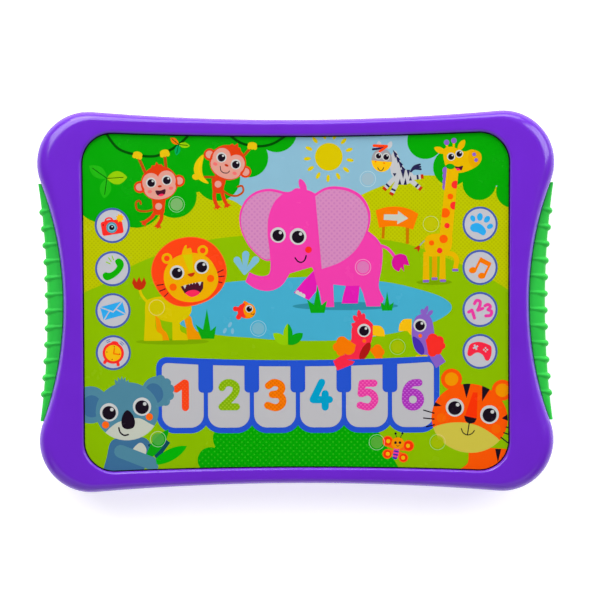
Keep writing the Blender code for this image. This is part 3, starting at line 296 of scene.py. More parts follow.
def spline(points, closed, steps=6):
    """A smooth curve through the points."""
    count = len(points)
    made = []
    for index in range(count if closed else count - 1):
        if closed:
            picks = [points[(index + shift) % count] for shift in (-1, 0, 1, 2)]
        else:
            picks = [points[min(max(index + shift, 0), count - 1)] for shift in (-1, 0, 1, 2)]
        before, first, second, after = (Vector(pick) for pick in picks)
        for step in range(steps):
            t = step / steps
            place = 0.5 * (2 * first + (second - before) * t
                           + (2 * before - 5 * first + 4 * second - after) * t ** 2
                           + (3 * first - before - 3 * second + after) * t ** 3)
            made.append(tuple(place))
    if not closed:
        made.append(tuple(points[-1]))
    return made


def line(points, width, smooth=True, end_width=None):
    """The outline of a thick line with round ends, which may taper."""
    path = [Vector(point) for point in (spline(points, closed=False) if smooth else points)]
    end_width = width if end_width is None else end_width
    left, right = [], []
    for index, place in enumerate(path):
        before = path[max(index - 1, 0)]
        after = path[min(index + 1, len(path) - 1)]
        along = (after - before).normalized()
        half = (width + (end_width - width) * index / (len(path) - 1)) / 2
        across = Vector((-along.y, along.x)) * half
        left.append(place + across)
        right.append(place - across)
    start = (path[1] - path[0]).normalized()
    end = (path[-1] - path[-2]).normalized()
    first_cap = round_cap(path[0], -start, width / 2)
    last_cap = round_cap(path[-1], end, end_width / 2)
    return [tuple(p) for p in right + last_cap + left[::-1] + first_cap]


def round_cap(centre, facing, radius, steps=6):
    """The points of a half circle, without its two ends, round the end of a line."""
    angle = math.atan2(facing.y, facing.x)
    made = []
    for step in range(1, steps):
        a = angle - math.pi / 2 + math.pi * step / steps
        made.append(centre + Vector((math.cos(a), math.sin(a))) * radius)
    return made


def leaf(base, tip, width, sharp=1.0):
    """A leaf from its stalk to its tip; sharp above 1 gives finer points."""
    base, tip = Vector(base), Vector(tip)
    along = tip - base
    across = Vector((-along.y, along.x)).normalized() * width / 2
    steps = 10
    bulge = [math.sin(math.pi * step / steps) ** sharp for step in range(1, steps)]
    one = [base + along * (step + 1) / steps + across * b for step, b in enumerate(bulge)]
    two = [base + along * (step + 1) / steps - across * b for step, b in enumerate(bulge)]
    return [tuple(p) for p in [base] + two + [tip] + one[::-1]]


def rounded_box(x, y, half_x, half_y, radius, turn=0.0):
    points = []
    for quarter, (side_x, side_y) in enumerate(((1, 1), (-1, 1), (-1, -1), (1, -1))):
        corner = (x + side_x * (half_x - radius), y + side_y * (half_y - radius))
        points += arc(corner, radius, 90 * quarter, 90 * quarter + 90, 4)
    return turned(points, (x, y), turn)


class Picture:
    """Flat shapes painted one over another; each may be kept inside others.

    A shape without an ink only marks a region, and isn't scaled or shifted.
    """

    def __init__(self):
        self.shapes = []
        self.spot = (0, 0, 0)

    @contextmanager
    def around(self, x, y, turn=0.0):
        """In here, shapes are given from this place, and turned about it."""
        self.spot = (x, y, turn)
        yield
        self.spot = (0, 0, 0)

    def paint(self, outline, ink, share=1.0, inside=()):
        if ink is not None:
            spot_x, spot_y, turn = self.spot
            shift_x, shift_y = PRINT_SHIFT
            outline = [((x + spot_x) * PRINT_SCALE + shift_x, (y + spot_y) * PRINT_SCALE + shift_y)
                       for x, y in turned(outline, (0, 0), turn)]
        self.shapes.append((outline, ink, share, frozenset(inside)))
        return len(self.shapes) - 1

    def finish_of(self, owners):
        """What the painter sees where these shapes lie over each other: (ink name or None, colour)."""
        name, seen = None, None
        for index in sorted(owners):
            outline, ink, share, inside = self.shapes[index]
            if ink is None or (inside and not inside & owners):
                continue
            tone = INK[ink] if isinstance(ink, str) else ink
            if share == 1.0 or seen is None:
                name, seen = ink if isinstance(ink, str) else None, tone
            else:
                name, seen = None, mixed(seen, tone, share)
        return name, seen


art = Picture()
paint = art.paint


def dot(ink, x, y, half_x, half_y=None, turn=0.0, **how):
    """An oval."""
    return paint(oval(x, y, half_x, half_y, turn), ink, **how)


def patch(ink, *points, **how):
    """A smooth closed shape through the points."""
    return paint(spline(points, closed=True), ink, **how)


def stroke(ink, width, *points):
    """A smooth thick line through the points."""
    return paint(line(points, width), ink)


def bar(ink, width, *points, end_width=None):
    """A thick line, straight from point to point."""
    return paint(line(points, width, smooth=False, end_width=end_width), ink)


def block(ink, *box, **how):
    """A rounded box."""
    return paint(rounded_box(*box), ink, **how)


def paint_leaf(ink, base, tip, width, sharp):
    return paint(leaf(base, tip, width, sharp), ink)


# ---------------------------------------------------------------- the picture: backdrop


def paint_lobes(ink, *lobes):
    """Round lobes of foliage, each given as x, y and radius."""
    for x, y, radius in lobes:
        dot(ink, x, y, radius)


def paint_land():
    paint([(-110, -90), (110, -90), (110, 90), (-110, 90)], "sky")
    left_hill = spline([(-110, 52), (-60, 54), (-45, 51.5), (-30, 47.6), (-24, 44), (-12, 36),
        (0, 26)], False)
    paint(left_hill + [(-110, 0)], "hill")
    right_hill = spline([(0, 26), (18, 42), (30, 49.2), (41, 54), (55, 58), (66, 58.4), (84, 56),
        (110, 48)], False)
    paint(right_hill + [(110, 0), (0, 0)], "hill")
    meadow = spline([(-110, -2), (-99, 4.4), (-89, 8.9), (-77, 16.5), (-64, 22), (-46, 27.6), (-30, 30.3),
        (0, 32), (30, 30), (50, 27.2), (66, 21.8), (78, 16.8), (93, 9.1), (110, -2)], False)
    paint(meadow + [(110, -90), (-110, -90)], "lime")


def paint_canopies():
    paint_lobes("canopy", (-89.5, 50.3, 13.3), (-74, 47.5, 12.8), (-56, 49.5, 10.3), (-46.5, 56.5, 5.5),
        (-36, 57.5, 10.5), (-21.5, 67, 9.1), (-8.5, 79, 9.5))
    paint([(-8, 90), (-110, 90), (-110, 52), (-80, 50), (-60, 52), (-50, 52), (-36, 57), (-22, 67),
        (-8, 78)], "canopy")
    paint_lobes("canopy", (60.5, 74.5, 8.4), (72.7, 62.3, 8.6), (85.6, 54.8, 7.8), (101, 51, 7.6))
    paint([(110, 90), (54, 90), (62, 74), (74, 62), (86, 56), (96, 53), (110, 52)], "canopy")
    stroke("vine", 1.2, (-88, 79), (-82.5, 71.8), (-75.4, 68.9), (-68.2, 67.8), (-62.4, 68.6), (-54, 73.1),
        (-48, 79))
    stroke("vine", 1.2, (-31, 78), (-24.9, 73.8), (-17.3, 72.3), (-10.2, 73.5), (-3, 78))


def paint_sprig(x, y, *leaves, vein=0.35):
    """Leaves from one point, each given as tip x, tip y, width and ink."""
    for tip_x, tip_y, width, ink in leaves:
        paint_leaf(ink, (x, y), (tip_x, tip_y), width, 0.8)
        end = (x + (tip_x - x) * 0.8, y + (tip_y - y) * 0.8)
        bar("vine", vein, (x, y), end)


def paint_sun():
    rays = 13
    with art.around(15.7, 67.3):
        dot("sun", 0, 0, 6.45)
        for ray in range(rays):
            paint(turned(oval(10.0, 0, 1.7, 0.85), (0, 0), 360 * ray / rays - 9), "sun")


def paint_pond():
    patch("pond", (-32, 9.1), (-10, 10.8), (6.6, 11.5), (25, 11), (44, 8.7), (55.2, 6.2), (65.4, 3.1),
        (70.8, 0.2), (72.8, -2.8), (70.8, -6), (64, -9.8), (54, -13), (42, -15.4), (25, -17.8), (3.5, -18.2),
        (-10.5, -17.6), (-22, -16.6), (-35, -15.5), (-47, -13.4), (-54, -10), (-53, -5), (-48, 2),
        (-42, 6.5))


def paint_spikes(ink, x, y, half, *tips):
    """A tuft of grass: a flat foot and pointed blades."""
    outline = [(x + half, y)]
    for index, (tip_x, tip_y) in enumerate(tips):
        outline.append((x + tip_x, y + tip_y))
        if index < len(tips) - 1:
            next_x, next_y = tips[index + 1]
            outline.append((x + (tip_x + next_x) / 2 * 0.72, y + min(tip_y, next_y) * 0.62))
    paint(outline + [(x - half, y)], ink)


def paint_bush():
    paint_lobes("bush", (-40, -74, 6.1), (-31.5, -63.8, 7.4))
    paint([(-32, -56), (36, -56), (40.5, -64.5), (47.8, -77.5), (48, -90), (-46, -90), (-40, -72)], "bush")


# ---------------------------------------------------------------- the picture: animals


def paint_eye(x, y, radius):
    """A plain round eye looking ahead."""
    dot("white", x, y, radius)
    dot("black", x, y - 0.06 * radius, 0.75 * radius)
    dot("white", x + 0.3 * radius, y + 0.3 * radius, 0.2 * radius)


def paint_monkey_head(x, y, tilt, smiling_open):
    """A round head with two light lobes round the eyes."""
    def at(dx, dy):
        return turned([(x + dx, y + dy)], (x, y), tilt)[0]

    for side in (-1, 1):
        dot("monkey", *at(9.2 * side, -0.3), 2.8)
        dot("face_pink", *at(9.3 * side, -0.3), 1.8)
    with art.around(x, y, tilt):
        patch("monkey", (-2.4, 7), (-2.0, 8.8), (-0.7, 8.6), (0.3, 10), (1.2, 8.6), (2.4, 8.6), (2.6, 7))
        dot("monkey", 0, 0, 8.6, 8.1)
        for side in (-1, 1):
            dot("face_pink", 3.6 * side, 0.8, 4.2, 4.6)
        dot("face_pink", 0, -2.4, 7.4, 5.0)
    for side in (-1, 1):
        paint_eye(*at(3.7 * side, 0.9), 2.4)
        dot("pink_red", *at(5.0 * side, -3.1), 1.05, 0.8, tilt, share=0.55)
    with art.around(x, y, tilt):
        dot("tail_red", 0, -1.4, 1.0, 0.55)
        if smiling_open:
            mouth = patch("mouth", (-2.3, -3.1), (0, -3.4), (2.3, -3.1), (1.8, -5.2), (0, -6.1),
                (-1.8, -5.2))
            dot("tongue", 0, -6.1, 1.7, 1.2, inside=[mouth])
        else:
            stroke("black", 0.4, (-2.4, -3.1), (-1.3, -4.7), (0.3, -5.1), (1.9, -4.4), (2.4, -3.2))


def paint_hand(x, y, tilt=0.0):
    """A yellow hand closed over a vine."""
    with art.around(x, y, tilt):
        for step in (-1, 0, 1):
            dot("hand", 1.35 * step, -0.5, 0.95, 1.15)
        dot("hand", 0, 0.5, 2.2, 1.4)


def paint_foot(x, y, tilt):
    with art.around(x, y, tilt):
        paint([(-0.7, 1.0), (0.7, 1.0), (1.9, -0.9), (0.8, -0.5), (0, -1.3), (-0.7, -0.5), (-1.9, -0.9)],
            "monkey")


def paint_monkeys():
    stroke("monkey_dim", 0.95, (-66.4, 43), (-69.5, 42.3), (-73.3, 43), (-74, 46.3), (-72.3, 47.2),
        (-71.7, 45.8))
    stroke("monkey", 1.7, (-64.9, 42.4), (-66.6, 39.7), (-69.4, 37.6))
    paint_foot(-70.4, 36.9, -45)
    stroke("monkey", 1.7, (-62.2, 42.4), (-62.2, 39), (-63.6, 36.4))
    paint_foot(-63.9, 35.4, -10)
    patch("monkey", (-66.3, 48.4), (-63.2, 49.5), (-60.4, 48.4), (-60.6, 44.6), (-61.1, 41.3), (-63.4, 40.6),
        (-65.8, 41.3), (-66.2, 44.6))
    dot("face_pink", -63.5, 44.6, 1.6)
    bar("monkey_dim", 1.4, (-69.6, 60.3), (-72.6, 67.2))
    bar("monkey_dim", 1.4, (-60, 62.5), (-60.4, 68.4))
    paint_hand(-73.1, 68.2, -15)
    paint_hand(-60.5, 69.1, 10)
    paint_monkey_head(-63.1, 55.3, 9, smiling_open=True)

    stroke("monkey_dim", 0.95, (-33.6, 51.8), (-30.4, 49.8), (-27, 49.4), (-24.2, 51.3), (-24.6, 53.9),
        (-26.6, 53.6))
    stroke("monkey", 1.7, (-37.3, 52.4), (-37.6, 48.5), (-36.5, 45))
    paint_foot(-36.2, 44.2, 12)
    stroke("monkey", 1.7, (-34.1, 52.4), (-33.4, 48.8), (-32.2, 46))
    paint_foot(-31.7, 44.9, 20)
    patch("monkey", (-38.4, 58), (-34.6, 59.5), (-32.3, 57), (-33, 53.6), (-33.6, 51.2), (-35.8, 50.6),
        (-38.1, 51.4), (-38.6, 54.6))
    dot("face_pink", -35.8, 54.8, 1.6)
    bar("monkey_dim", 1.1, (-37.9, 58.1), (-43, 58.1))
    bar("monkey_dim", 1.3, (-23.3, 68.4), (-20.3, 72))
    patch("banana", (-42.4, 68.5), (-45.6, 65.9), (-47, 62.2), (-46, 58.4), (-43.2, 56), (-40.2, 55.2),
        (-42.6, 58.6), (-43.2, 62.6))
    stroke("icon_yellow", 0.28, (-42.7, 67.6), (-44.6, 63), (-43.6, 58.6), (-41, 55.7))
    dot("hand", -46.1, 58.3, 1.7, 1.5)
    paint_hand(-19.8, 72.4, -5)
    paint_monkey_head(-31.2, 64.8, -26, smiling_open=False)


def paint_zebra():
    for hip, hoof in (((46.4, 57.6), (42.2, 53)), ((47.6, 55.8), (45.2, 50.8)), ((54.2, 57.4), (58.2, 57.9)),
            ((54, 56), (57.6, 53))):
        bar("zebra", 2.1, hip, hoof)
        along = (Vector(hoof) - Vector(hip)).normalized()
        across = Vector((-along.y, along.x)) * 1.05
        end = Vector(hoof)
        paint([tuple(end - across + along * 0.2), tuple(end + across + along * 0.2),
            tuple(end + across + along * 1.5), tuple(end - across + along * 1.5)], "tail_red")
        band = end - along * 1.3
        paint([tuple(band - across - along * 0.4), tuple(band - across + along * 0.5),
            tuple(band + across + along * 0.5), tuple(band + across - along * 0.4)], "navy")
    dot("zebra", 50.3, 57.8, 4.9, 3.5)
    paint(spline([(44.2, 66), (46.6, 70.1), (49.2, 64.5), (51.2, 60.6), (49, 57.6), (45, 58.6)], True, 4),
        "zebra")
    for step in range(4):
        x, y = 46.3 + 1.25 * step, 69.6 - 2.35 * step
        paint([(x - 0.9, y + 0.9), (x + 1.3, y - 1.2), (x + 0.2, y - 3.1)], "navy")
    for x, y, half, drop in ((50.1, 61.3, 1.1, -4.3), (52.6, 61.2, 0.8, -3.4), (48.6, 54.3, 0.8, 2.8),
            (51.2, 54.2, 0.8, 3.2), (46.2, 59.6, 0.9, -1.6), (53.6, 56.2, 0.7, 2.2)):
        paint([(x - half, y), (x + half, y), (x + 0.1, y + drop)], "navy")
    for rise in (0, 1.1, 2.2):
        stroke("navy", 0.95, (53.8, 60.4), (55.4, 61.6 + rise * 0.5), (58.4 - rise * 0.2, 61.4 + rise))
    for x, y, tip in ((39.4, 71, (38.9, 74.6)), (43.2, 70.8, (44.8, 74.4))):
        paint_leaf("zebra", (x, y), tip, 2.2, 0.7)
    head = dot("grey", 40.3, 65.7, 4.8, 5.5)
    paint([(34, 65.9), (40, 65.2), (46, 64.8), (46, 59), (34, 59)], "icon_yellow", inside=[head])
    paint_eye(38.8, 67.7, 1.7)
    paint_eye(42.3, 67.2, 1.8)
    for x, y in ((37.4, 65), (41.4, 64.3)):
        dot("orange", x, y, 0.45)
    stroke("black", 0.35, (38.4, 62.2), (39.3, 61), (40.4, 61), (41.2, 62.2))
    bar("mane", 1.3, (36.7, 72.4), (42.6, 72.1))
    bar("navy", 1.0, (36.2, 70.7), (42.0, 71.5))
    bar("mane", 1.1, (39.4, 69.8), (42.4, 71.8))


def paint_giraffe():
    dot(DARK, 64.6, 8.9, 8.3, 1.25, share=0.28)
    stroke("grey", 0.5, (60.6, 28.6), (59.2, 27.4), (57.6, 25.6))
    paint([(57.9, 26), (56.9, 25.8), (54.9, 24.4), (56.6, 24.3), (57.3, 22.8), (58, 24.4)], "tail_red")
    for left, right, bottom in ((59.6, 62, 10), (67.3, 69.6, 10)):
        paint([(left, 23), (right + 0.2, 23), (right + 0.4, bottom), (left - 0.3, bottom)], "giraffe")
    paint([(63.6, 23), (66, 23), (66, 11), (63.6, 11)], "giraffe_far")
    stroke("giraffe", 2.3, (70.6, 22.4), (73.4, 21.8), (75.1, 19.4), (74.5, 15.4))
    for x, y in ((60.8, 9.4), (64.8, 10.5), (68.7, 9.6), (74.4, 14.5)):
        block("purple", x, y, 1.4, 0.6, 0.25)
    for y in (60.8, 58.2, 55.6, 53.2):
        dot("purple", 69.9, y, 1.5, 1.7)
    body = [patch("giraffe", (60.6, 29.5), (63.6, 31.3), (67.3, 31.6), (70, 33), (72.9, 30.6), (72.5, 24.6),
        (69.4, 21.3), (65.6, 20.9), (62, 21.2), (60.2, 24.8))]
    body.append(paint([(70.6, 62.6), (67.1, 31), (72.9, 29.5), (76, 60.8)], "giraffe"))
    for x, y, radius, ink in ((74.5, 54.2, 1.9, "red"), (72.1, 48.7, 1.4, "orange_deep"),
            (73.9, 44.5, 1.9, "red"), (69.7, 41.1, 2.3, "orange_deep"), (70.6, 35.2, 1.3, "red"),
            (69, 29, 2, "orange_deep"), (63.4, 27.2, 1.25, "orange_deep"), (67.2, 23.6, 1.35, "red")):
        dot(ink, x, y, radius, inside=body)
    for x, tip_x, tip_y in ((70.9, 70.4, 73.4), (73.6, 73.8, 74.2)):
        bar("giraffe", 1.0, (x, 70), (tip_x, tip_y))
        dot("purple", tip_x, tip_y + 0.4, 1.3)
    paint_leaf("giraffe", (70, 69), (64.6, 71.4), 2.9, 0.6)
    paint_leaf("giraffe", (75.8, 70), (78.8, 75), 2.8, 0.6)
    head = patch("giraffe", (69, 70.4), (72.6, 71.8), (76, 70.6), (79, 69.6), (82.4, 70.5), (85.9, 69),
        (86.6, 65.8), (84.6, 62.8), (80.4, 60.6), (76, 59.6), (71.6, 60.6), (69.4, 64.6))
    dot("giraffe_far", 84.4, 66.6, 4, 5, share=0.75, inside=[head])
    for x, y in ((83.2, 68.2), (84.1, 65.6)):
        dot("purple", x, y, 0.9)
    paint_eye(72.5, 67.2, 1.9)
    paint_eye(76.3, 68.5, 1.8)
    mouth = paint([(74, 62.8), (75.8, 62.5), (78.2, 63), (77.4, 60.9), (75.2, 60.7)], "mouth")
    dot("tongue", 75.2, 61, 1.6, 0.9, inside=[mouth])
    paint_leaf("grass", (74.4, 62.4), (69.9, 62.9), 2.6, 0.6)


def paint_sign():
    """A board on two posts; the arrow stands in for its lettering."""
    paint([(40.4, 35), (41.8, 35), (41.4, 29.3), (40.1, 29.3)], "post")
    paint([(51.4, 34.5), (53, 34.5), (52.8, 26.8), (51.5, 26.8)], "post")
    top = spline([(37.4, 42.4), (42, 43.8), (48, 44.1), (53.4, 42.8), (57.3, 40.7)], False)
    bottom = spline([(54.8, 33.4), (50, 34.7), (44.4, 35), (39, 34.3)], False)
    paint(top + bottom, "orange")
    arrow = [(41.2, 40.2), (47.6, 40.5), (47.6, 42.2), (52.6, 39), (47.6, 35.9), (47.6, 37.6), (41.2, 37.6)]
    paint(turned(arrow, (47, 39), -4), "koala_white")


def paint_elephant():
    dot("pond_shade", 23.2, -2.1, 24.6, 1.9)
    paint([(23.8, 8.4), (30.1, 8.6), (29.1, -0.9), (21.5, -0.9), (22.2, 3)], "elephant_far")
    far_leg = paint([(8.6, 14.6), (4, 10), (-0.8, 4.2), (6.3, 0.7), (9.8, 5), (10, 12)], "elephant_far")
    for x, y in ((0.9, 4.2), (2.3, 3.4), (3.7, 2.6)):
        dot("white", x, y, 0.95, 1.15, inside=[far_leg])
    stroke("elephant", 1.5, (39.6, 26), (43, 24.6), (46.2, 21))
    tuft = arc((49, 18), 4.2, 50, 260, 14) + [(49.2, 15.8), (50.6, 13.8), (50.5, 17.2), (53.2, 16.6)]
    paint(tuft, "tuft_pink")
    paint(spline([(10, 40), (22, 40), (33.5, 33), (38.4, 28.8), (40.6, 24), (40.2, 16), (38.8, 8),
        (39.6, 4.4), (41.3, 1.2)], False) + [(39.5, -2.3), (33.1, -2.3), (31.4, 4), (29.8, 7.4), (24, 7.3),
        (17.6, 8), (18, -2.5), (12.3, -2.5), (11.4, 4), (9.9, 8), (8.3, 15), (2, 24)], "elephant")
    left_ear = [(1, 49), (-5, 51.2), (-12, 52.6), (-18.4, 51.2), (-23.4, 47), (-26, 39.6), (-24.6, 31.6),
        (-19.8, 23.8), (-11.9, 19.2), (-4, 30)]
    patch("elephant", *left_ear)
    patch("elephant_ear", *[(x * 0.94 - 0.8, y * 0.945 + 1.7) for x, y in left_ear])
    paint(spline([(-6, 50), (-9.6, 46.5), (-12.3, 40), (-12.9, 32), (-12, 24), (-11.6, 16.5), (-12.4, 13),
        (-15.3, 12), (-18.6, 12.6), (-21.5, 14)], False) + spline([(-23.3, 9.4), (-18.5, 6.1), (-12.1, 5.1),
        (-6.4, 7.6), (-2.6, 13.2)], False) + [(7.8, 16.2), (12.2, 15), (16, 30), (12, 47)]
        + spline([(9.3, 50.4), (6.8, 51.6), (3.6, 52.4), (0.4, 52.8), (-1.4, 51.6)], False), "elephant")
    paint_leaf("elephant", (5.0, 50.6), (2.1, 57.2), 3.2, 0.6)
    right_ear = [(9.3, 50.4), (14, 53), (19, 53.6), (25.6, 52.4), (31.6, 48.4), (34.9, 41.2), (33.9, 33),
        (29, 24.2), (21.6, 18.2)]
    ear_edge = spline(right_ear + [(12.2, 15)], False)
    paint(ear_edge, "elephant")
    inner = [(x * 0.955 + 0.5, y * 0.955 + 1.1) for x, y in right_ear[1:]]
    paint(spline([(9.4, 49)] + inner + [(12.3, 15.2)], False), "elephant_ear")
    paint_eye(-8.0, 31.1, 3.6)
    paint_eye(1.3, 30.4, 3.9)
    dot("red", 6.1, 24.2, 1.6)
    stroke("black", 0.65, (-0.1, 20.4), (1.2, 18.8), (3, 18.4), (4.4, 19.5), (5, 21.4))
    for tip in ((-28.3, 21.6), (-22.9, 25.1), (-16.7, 21.8)):
        base = Vector((-23.7, 13.2))
        bend = base.lerp(Vector(tip), 0.75)
        bar("splash", 1.3, tuple(base), tuple(bend), end_width=3.3)


def paint_tail_tuft(x, y):
    with art.around(x, y):
        paint(spline([(0, -3.4), (2.2, -2.4), (3.3, 0)], False) + [(2.3, 2.8), (1.1, 0.4), (0, 3.1),
            (-1.2, 0.4), (-2.5, 2.8)] + spline([(-3.3, 0), (-2.2, -2.4)], False), "tail_red")


def paint_lion():
    dot(DARK, -57.5, -18.4, 17, 1.4, share=0.22)
    stroke("lion_body", 1.3, (-68.6, -0.4), (-70.6, 1.8), (-72, 4), (-72.6, 6.4))
    paint_tail_tuft(-72.8, 9)
    paint(spline([(-65.6, -5), (-63.3, -8), (-62.2, -12), (-60, -14.6), (-58.9, -17.8)], False)
        + [(-63, -17.8), (-64.9, -13)], "lion_far")
    paint(spline([(-52.2, -7), (-49, -6.6), (-47.6, -11.4), (-45.4, -14.4), (-44, -17.4)], False)
        + [(-50.6, -17.4), (-51, -12)], "lion_far")
    paint(spline([(-69.7, 0.8), (-66, 2.2), (-60, 2.6), (-50, 0), (-48.4, -3.4), (-49.8, -6.6),
        (-52.6, -8.6)], False) + spline([(-53.9, -9.6), (-53.6, -13.4), (-51, -15), (-50.2, -17.8)], False)
        + [(-57.5, -17.8)] + spline([(-57.5, -9.4), (-62.4, -8.4), (-65.4, -6)], False)
        + spline([(-65.4, -11), (-64.6, -13.6), (-62.4, -15.2), (-62, -18)], False) + [(-70.8, -18)]
        + spline([(-70.2, -8), (-70.2, -2)], False), "lion_body")
    mane = ((-49.9, 30.4), (-42, 29.2), (-36.2, 25), (-32.6, 18.6), (-32, 12), (-34.8, 5.6), (-41, 0.6),
        (-50, -2.1), (-57, -1.2), (-62.4, 3), (-66, 8.8), (-67.2, 15), (-65, 21.8), (-58.6, 28))
    patch("mane_edge", *mane)
    patch("mane", *[(-49.6 + (x + 49.6) * 0.975, 14.2 + (y - 14.2) * 0.975) for x, y in mane])
    for x, y in ((-59.8, 20.4), (-43.1, 24)):
        dot("lion", x, y, 2.5)
        dot("mane", x, y, 1.35)
    patch("lion", (-52.8, 21), (-51.8, 25.6), (-50.6, 26.6), (-50.5, 24.9), (-48.6, 25.1), (-48.2, 21))
    patch("lion", (-56.4, 20.6), (-48.4, 23), (-40.6, 20.6), (-36.4, 13.6), (-36.6, 7.4), (-41.2, 2),
        (-48.6, 0), (-56, 1.8), (-60.6, 7.6), (-60.9, 14.6))
    paint([(-52.6, 22), (-48, 22.4), (-47.6, 14), (-49.4, 13.8)], "lion_stripe")
    paint_eye(-55.1, 13.8, 3.35)
    paint_eye(-43.6, 16.5, 3.35)
    patch("tail_red", (-50.2, 13), (-48.6, 13.5), (-46.9, 13.8), (-47.3, 12.5), (-48.5, 11.8), (-49.6, 12.2))
    for x, y in ((-57, 7), (-39.5, 11)):
        dot("orange_deep", x, y, 1.75)
    mouth = paint(spline([(-53.5, 7.3), (-50.6, 8.1), (-47.6, 8.9), (-42.9, 9.6)], False)
        + spline([(-43, 6.4), (-45.2, 3.6), (-48.6, 2.4), (-51.7, 4.2)], False), "mouth")
    dot("tongue", -48.1, 2.9, 4.1, 2.8, 10, inside=[mouth])
    for x, y, size in ((-51.6, 8, 1.9), (-49.4, 8.6, 0.8), (-48, 8.9, 0.8), (-46.6, 9.1, 0.8),
            (-44.6, 9.4, 1.9)):
        paint([(x - size * 0.55, y + 0.2), (x + size * 0.5, y + 0.4), (x + 0.1, y - size)], "white",
            inside=[mouth])
    for ends in (((-64.4, 7.9), (-61.5, 8.3)), ((-63.3, 5.1), (-60.7, 6.2)), ((-61, 2.7), (-59.4, 4.3)),
            ((-36.2, 13.8), (-33.6, 15)), ((-35.7, 11.8), (-33.1, 12.1)), ((-35.8, 9.4), (-34.2, 9))):
        bar("black", 0.45, *ends)


def paint_fish():
    with art.around(-22.8, -4.1):
        bar("red", 1.6, (-2.6, 0.6), (-5.2, 0.9), end_width=2.4)
        bar("red", 1.6, (-2.6, -0.6), (-3.8, -3), end_width=2.4)
        patch("orange", (-1.6, 3.2), (-1, 4.6), (1, 3.4), (0.4, 2.4))
        body = dot("orange", 0, 0, 4.3, 3.7, -8)
        dot("red", -3.1, 0, 3.4, 4.4, inside=[body])
        dot("tiger_ear", 1.7, 0.2, 3.2, 3.4, inside=[body])
        paint_eye(1.2, 0.9, 1.8)
        stroke("black", 0.3, (2.1, -1.4), (3, -1.8), (3.7, -1.2))
    for x, y, turn in ((-30.6, -10.6, 60), (-29.4, -13.6, 90), (-33, -13.4, 65)):
        dot("splash", x, y, 1.4, 0.75, turn)


def paint_wing(ink, root, *ends):
    """A wing: round feathers that all meet at its root, each given as x, y and radius of its end."""
    for x, y, radius in ends:
        along = (Vector((x, y)) - Vector(root)).normalized()
        across = Vector((-along.y, along.x)) * radius
        end = Vector((x, y))
        paint([root, tuple(end - across), tuple(end + across * 0.98)], ink)
        dot(ink, x, y, radius)


def paint_parrots():
    paint_wing("orange", (34.4, -22.4), (38.2, -22.2, 2.2), (39.6, -23.6, 1.9), (38.8, -25.8, 1.8))
    paint([(22, -24.6), (27.4, -27.2), (26, -29.4), (19.4, -32.2), (17.4, -27.6)], "pink_red")
    patch("pink_red", (36.2, -11), (32.4, -7.8), (28.4, -8.8), (26.2, -12.6), (25.8, -18), (22.6, -24.4),
        (26.4, -28), (30.4, -27.6), (33.4, -24.2), (35.2, -19), (36.2, -15))
    dot("dark_red", 32.4, -23.3, 1.9, 4.6, -28)
    for base, tip in (((30.2, -9), (29.4, -3.8)), ((29, -9.6), (27, -6.4)), ((31.2, -9), (31.8, -5.4))):
        paint_leaf("pink_red", base, tip, 2.2, 0.6)
    paint_leaf("pink_red", (28.8, -12), (26, -10.2), 2, 0.6)
    paint(spline([(36, -11.2), (39.4, -11.4), (41.3, -13.6), (41.6, -16.4)], False) + [(36, -16)],
        "icon_yellow")
    paint_eye(31.9, -13.5, 3.1)
    dot("cheek", 32, -18.4, 0.9)
    paint_wing("orange", (28.2, -20.4), (21.6, -18.8, 2.6), (19.4, -21.2, 2.1), (21, -23.4, 2.0),
        (24.8, -22, 2.9))
    for x in (27.6, 30.2):
        block("sun", x, -27.8, 1.3, 0.7, 0.5)

    for base, tip in (((60, -6.6), (61.6, -2)), ((61.4, -6.8), (64, -4.2)), ((59.4, -6.4), (59, -3.4))):
        paint_leaf("purple", base, tip, 2.0, 0.6)
    patch("purple", (60, -5.8), (56.2, -7.2), (54.4, -12), (54.4, -18), (56.2, -23.4), (60, -25.4),
        (64, -25), (64.8, -19), (64.2, -11.4), (62.8, -7.2))
    patch("deep_blue", (54.8, -16.4), (58.2, -18.6), (60, -22.4), (59.4, -25), (56.8, -23.6), (54.9, -20.2))
    paint(spline([(54.2, -8.2), (50.4, -8.4), (48.4, -10.8), (48.1, -14)], False) + [(52, -13.8), (54, -16)],
        "icon_yellow")
    paint_eye(58, -11.2, 3.05)
    dot("cheek", 58.1, -16.1, 0.95)
    for x in (57.4, 60.2):
        block("sun", x, -25.7, 1.4, 0.7, 0.5)


def paint_purple_wing():
    """The tail and the wing of the second parrot, which hang over the blue band."""
    paint([(63.4, -23.4), (67.6, -24.8), (70, -28.2), (65.5, -31.2), (62.6, -26.2)], "purple")
    paint_wing("red", (60.6, -18), (64, -17.6, 2.6), (67, -18.4, 2.2), (68, -20.8, 1.9), (66.4, -23, 1.9),
        (63.8, -23.8, 2.1))


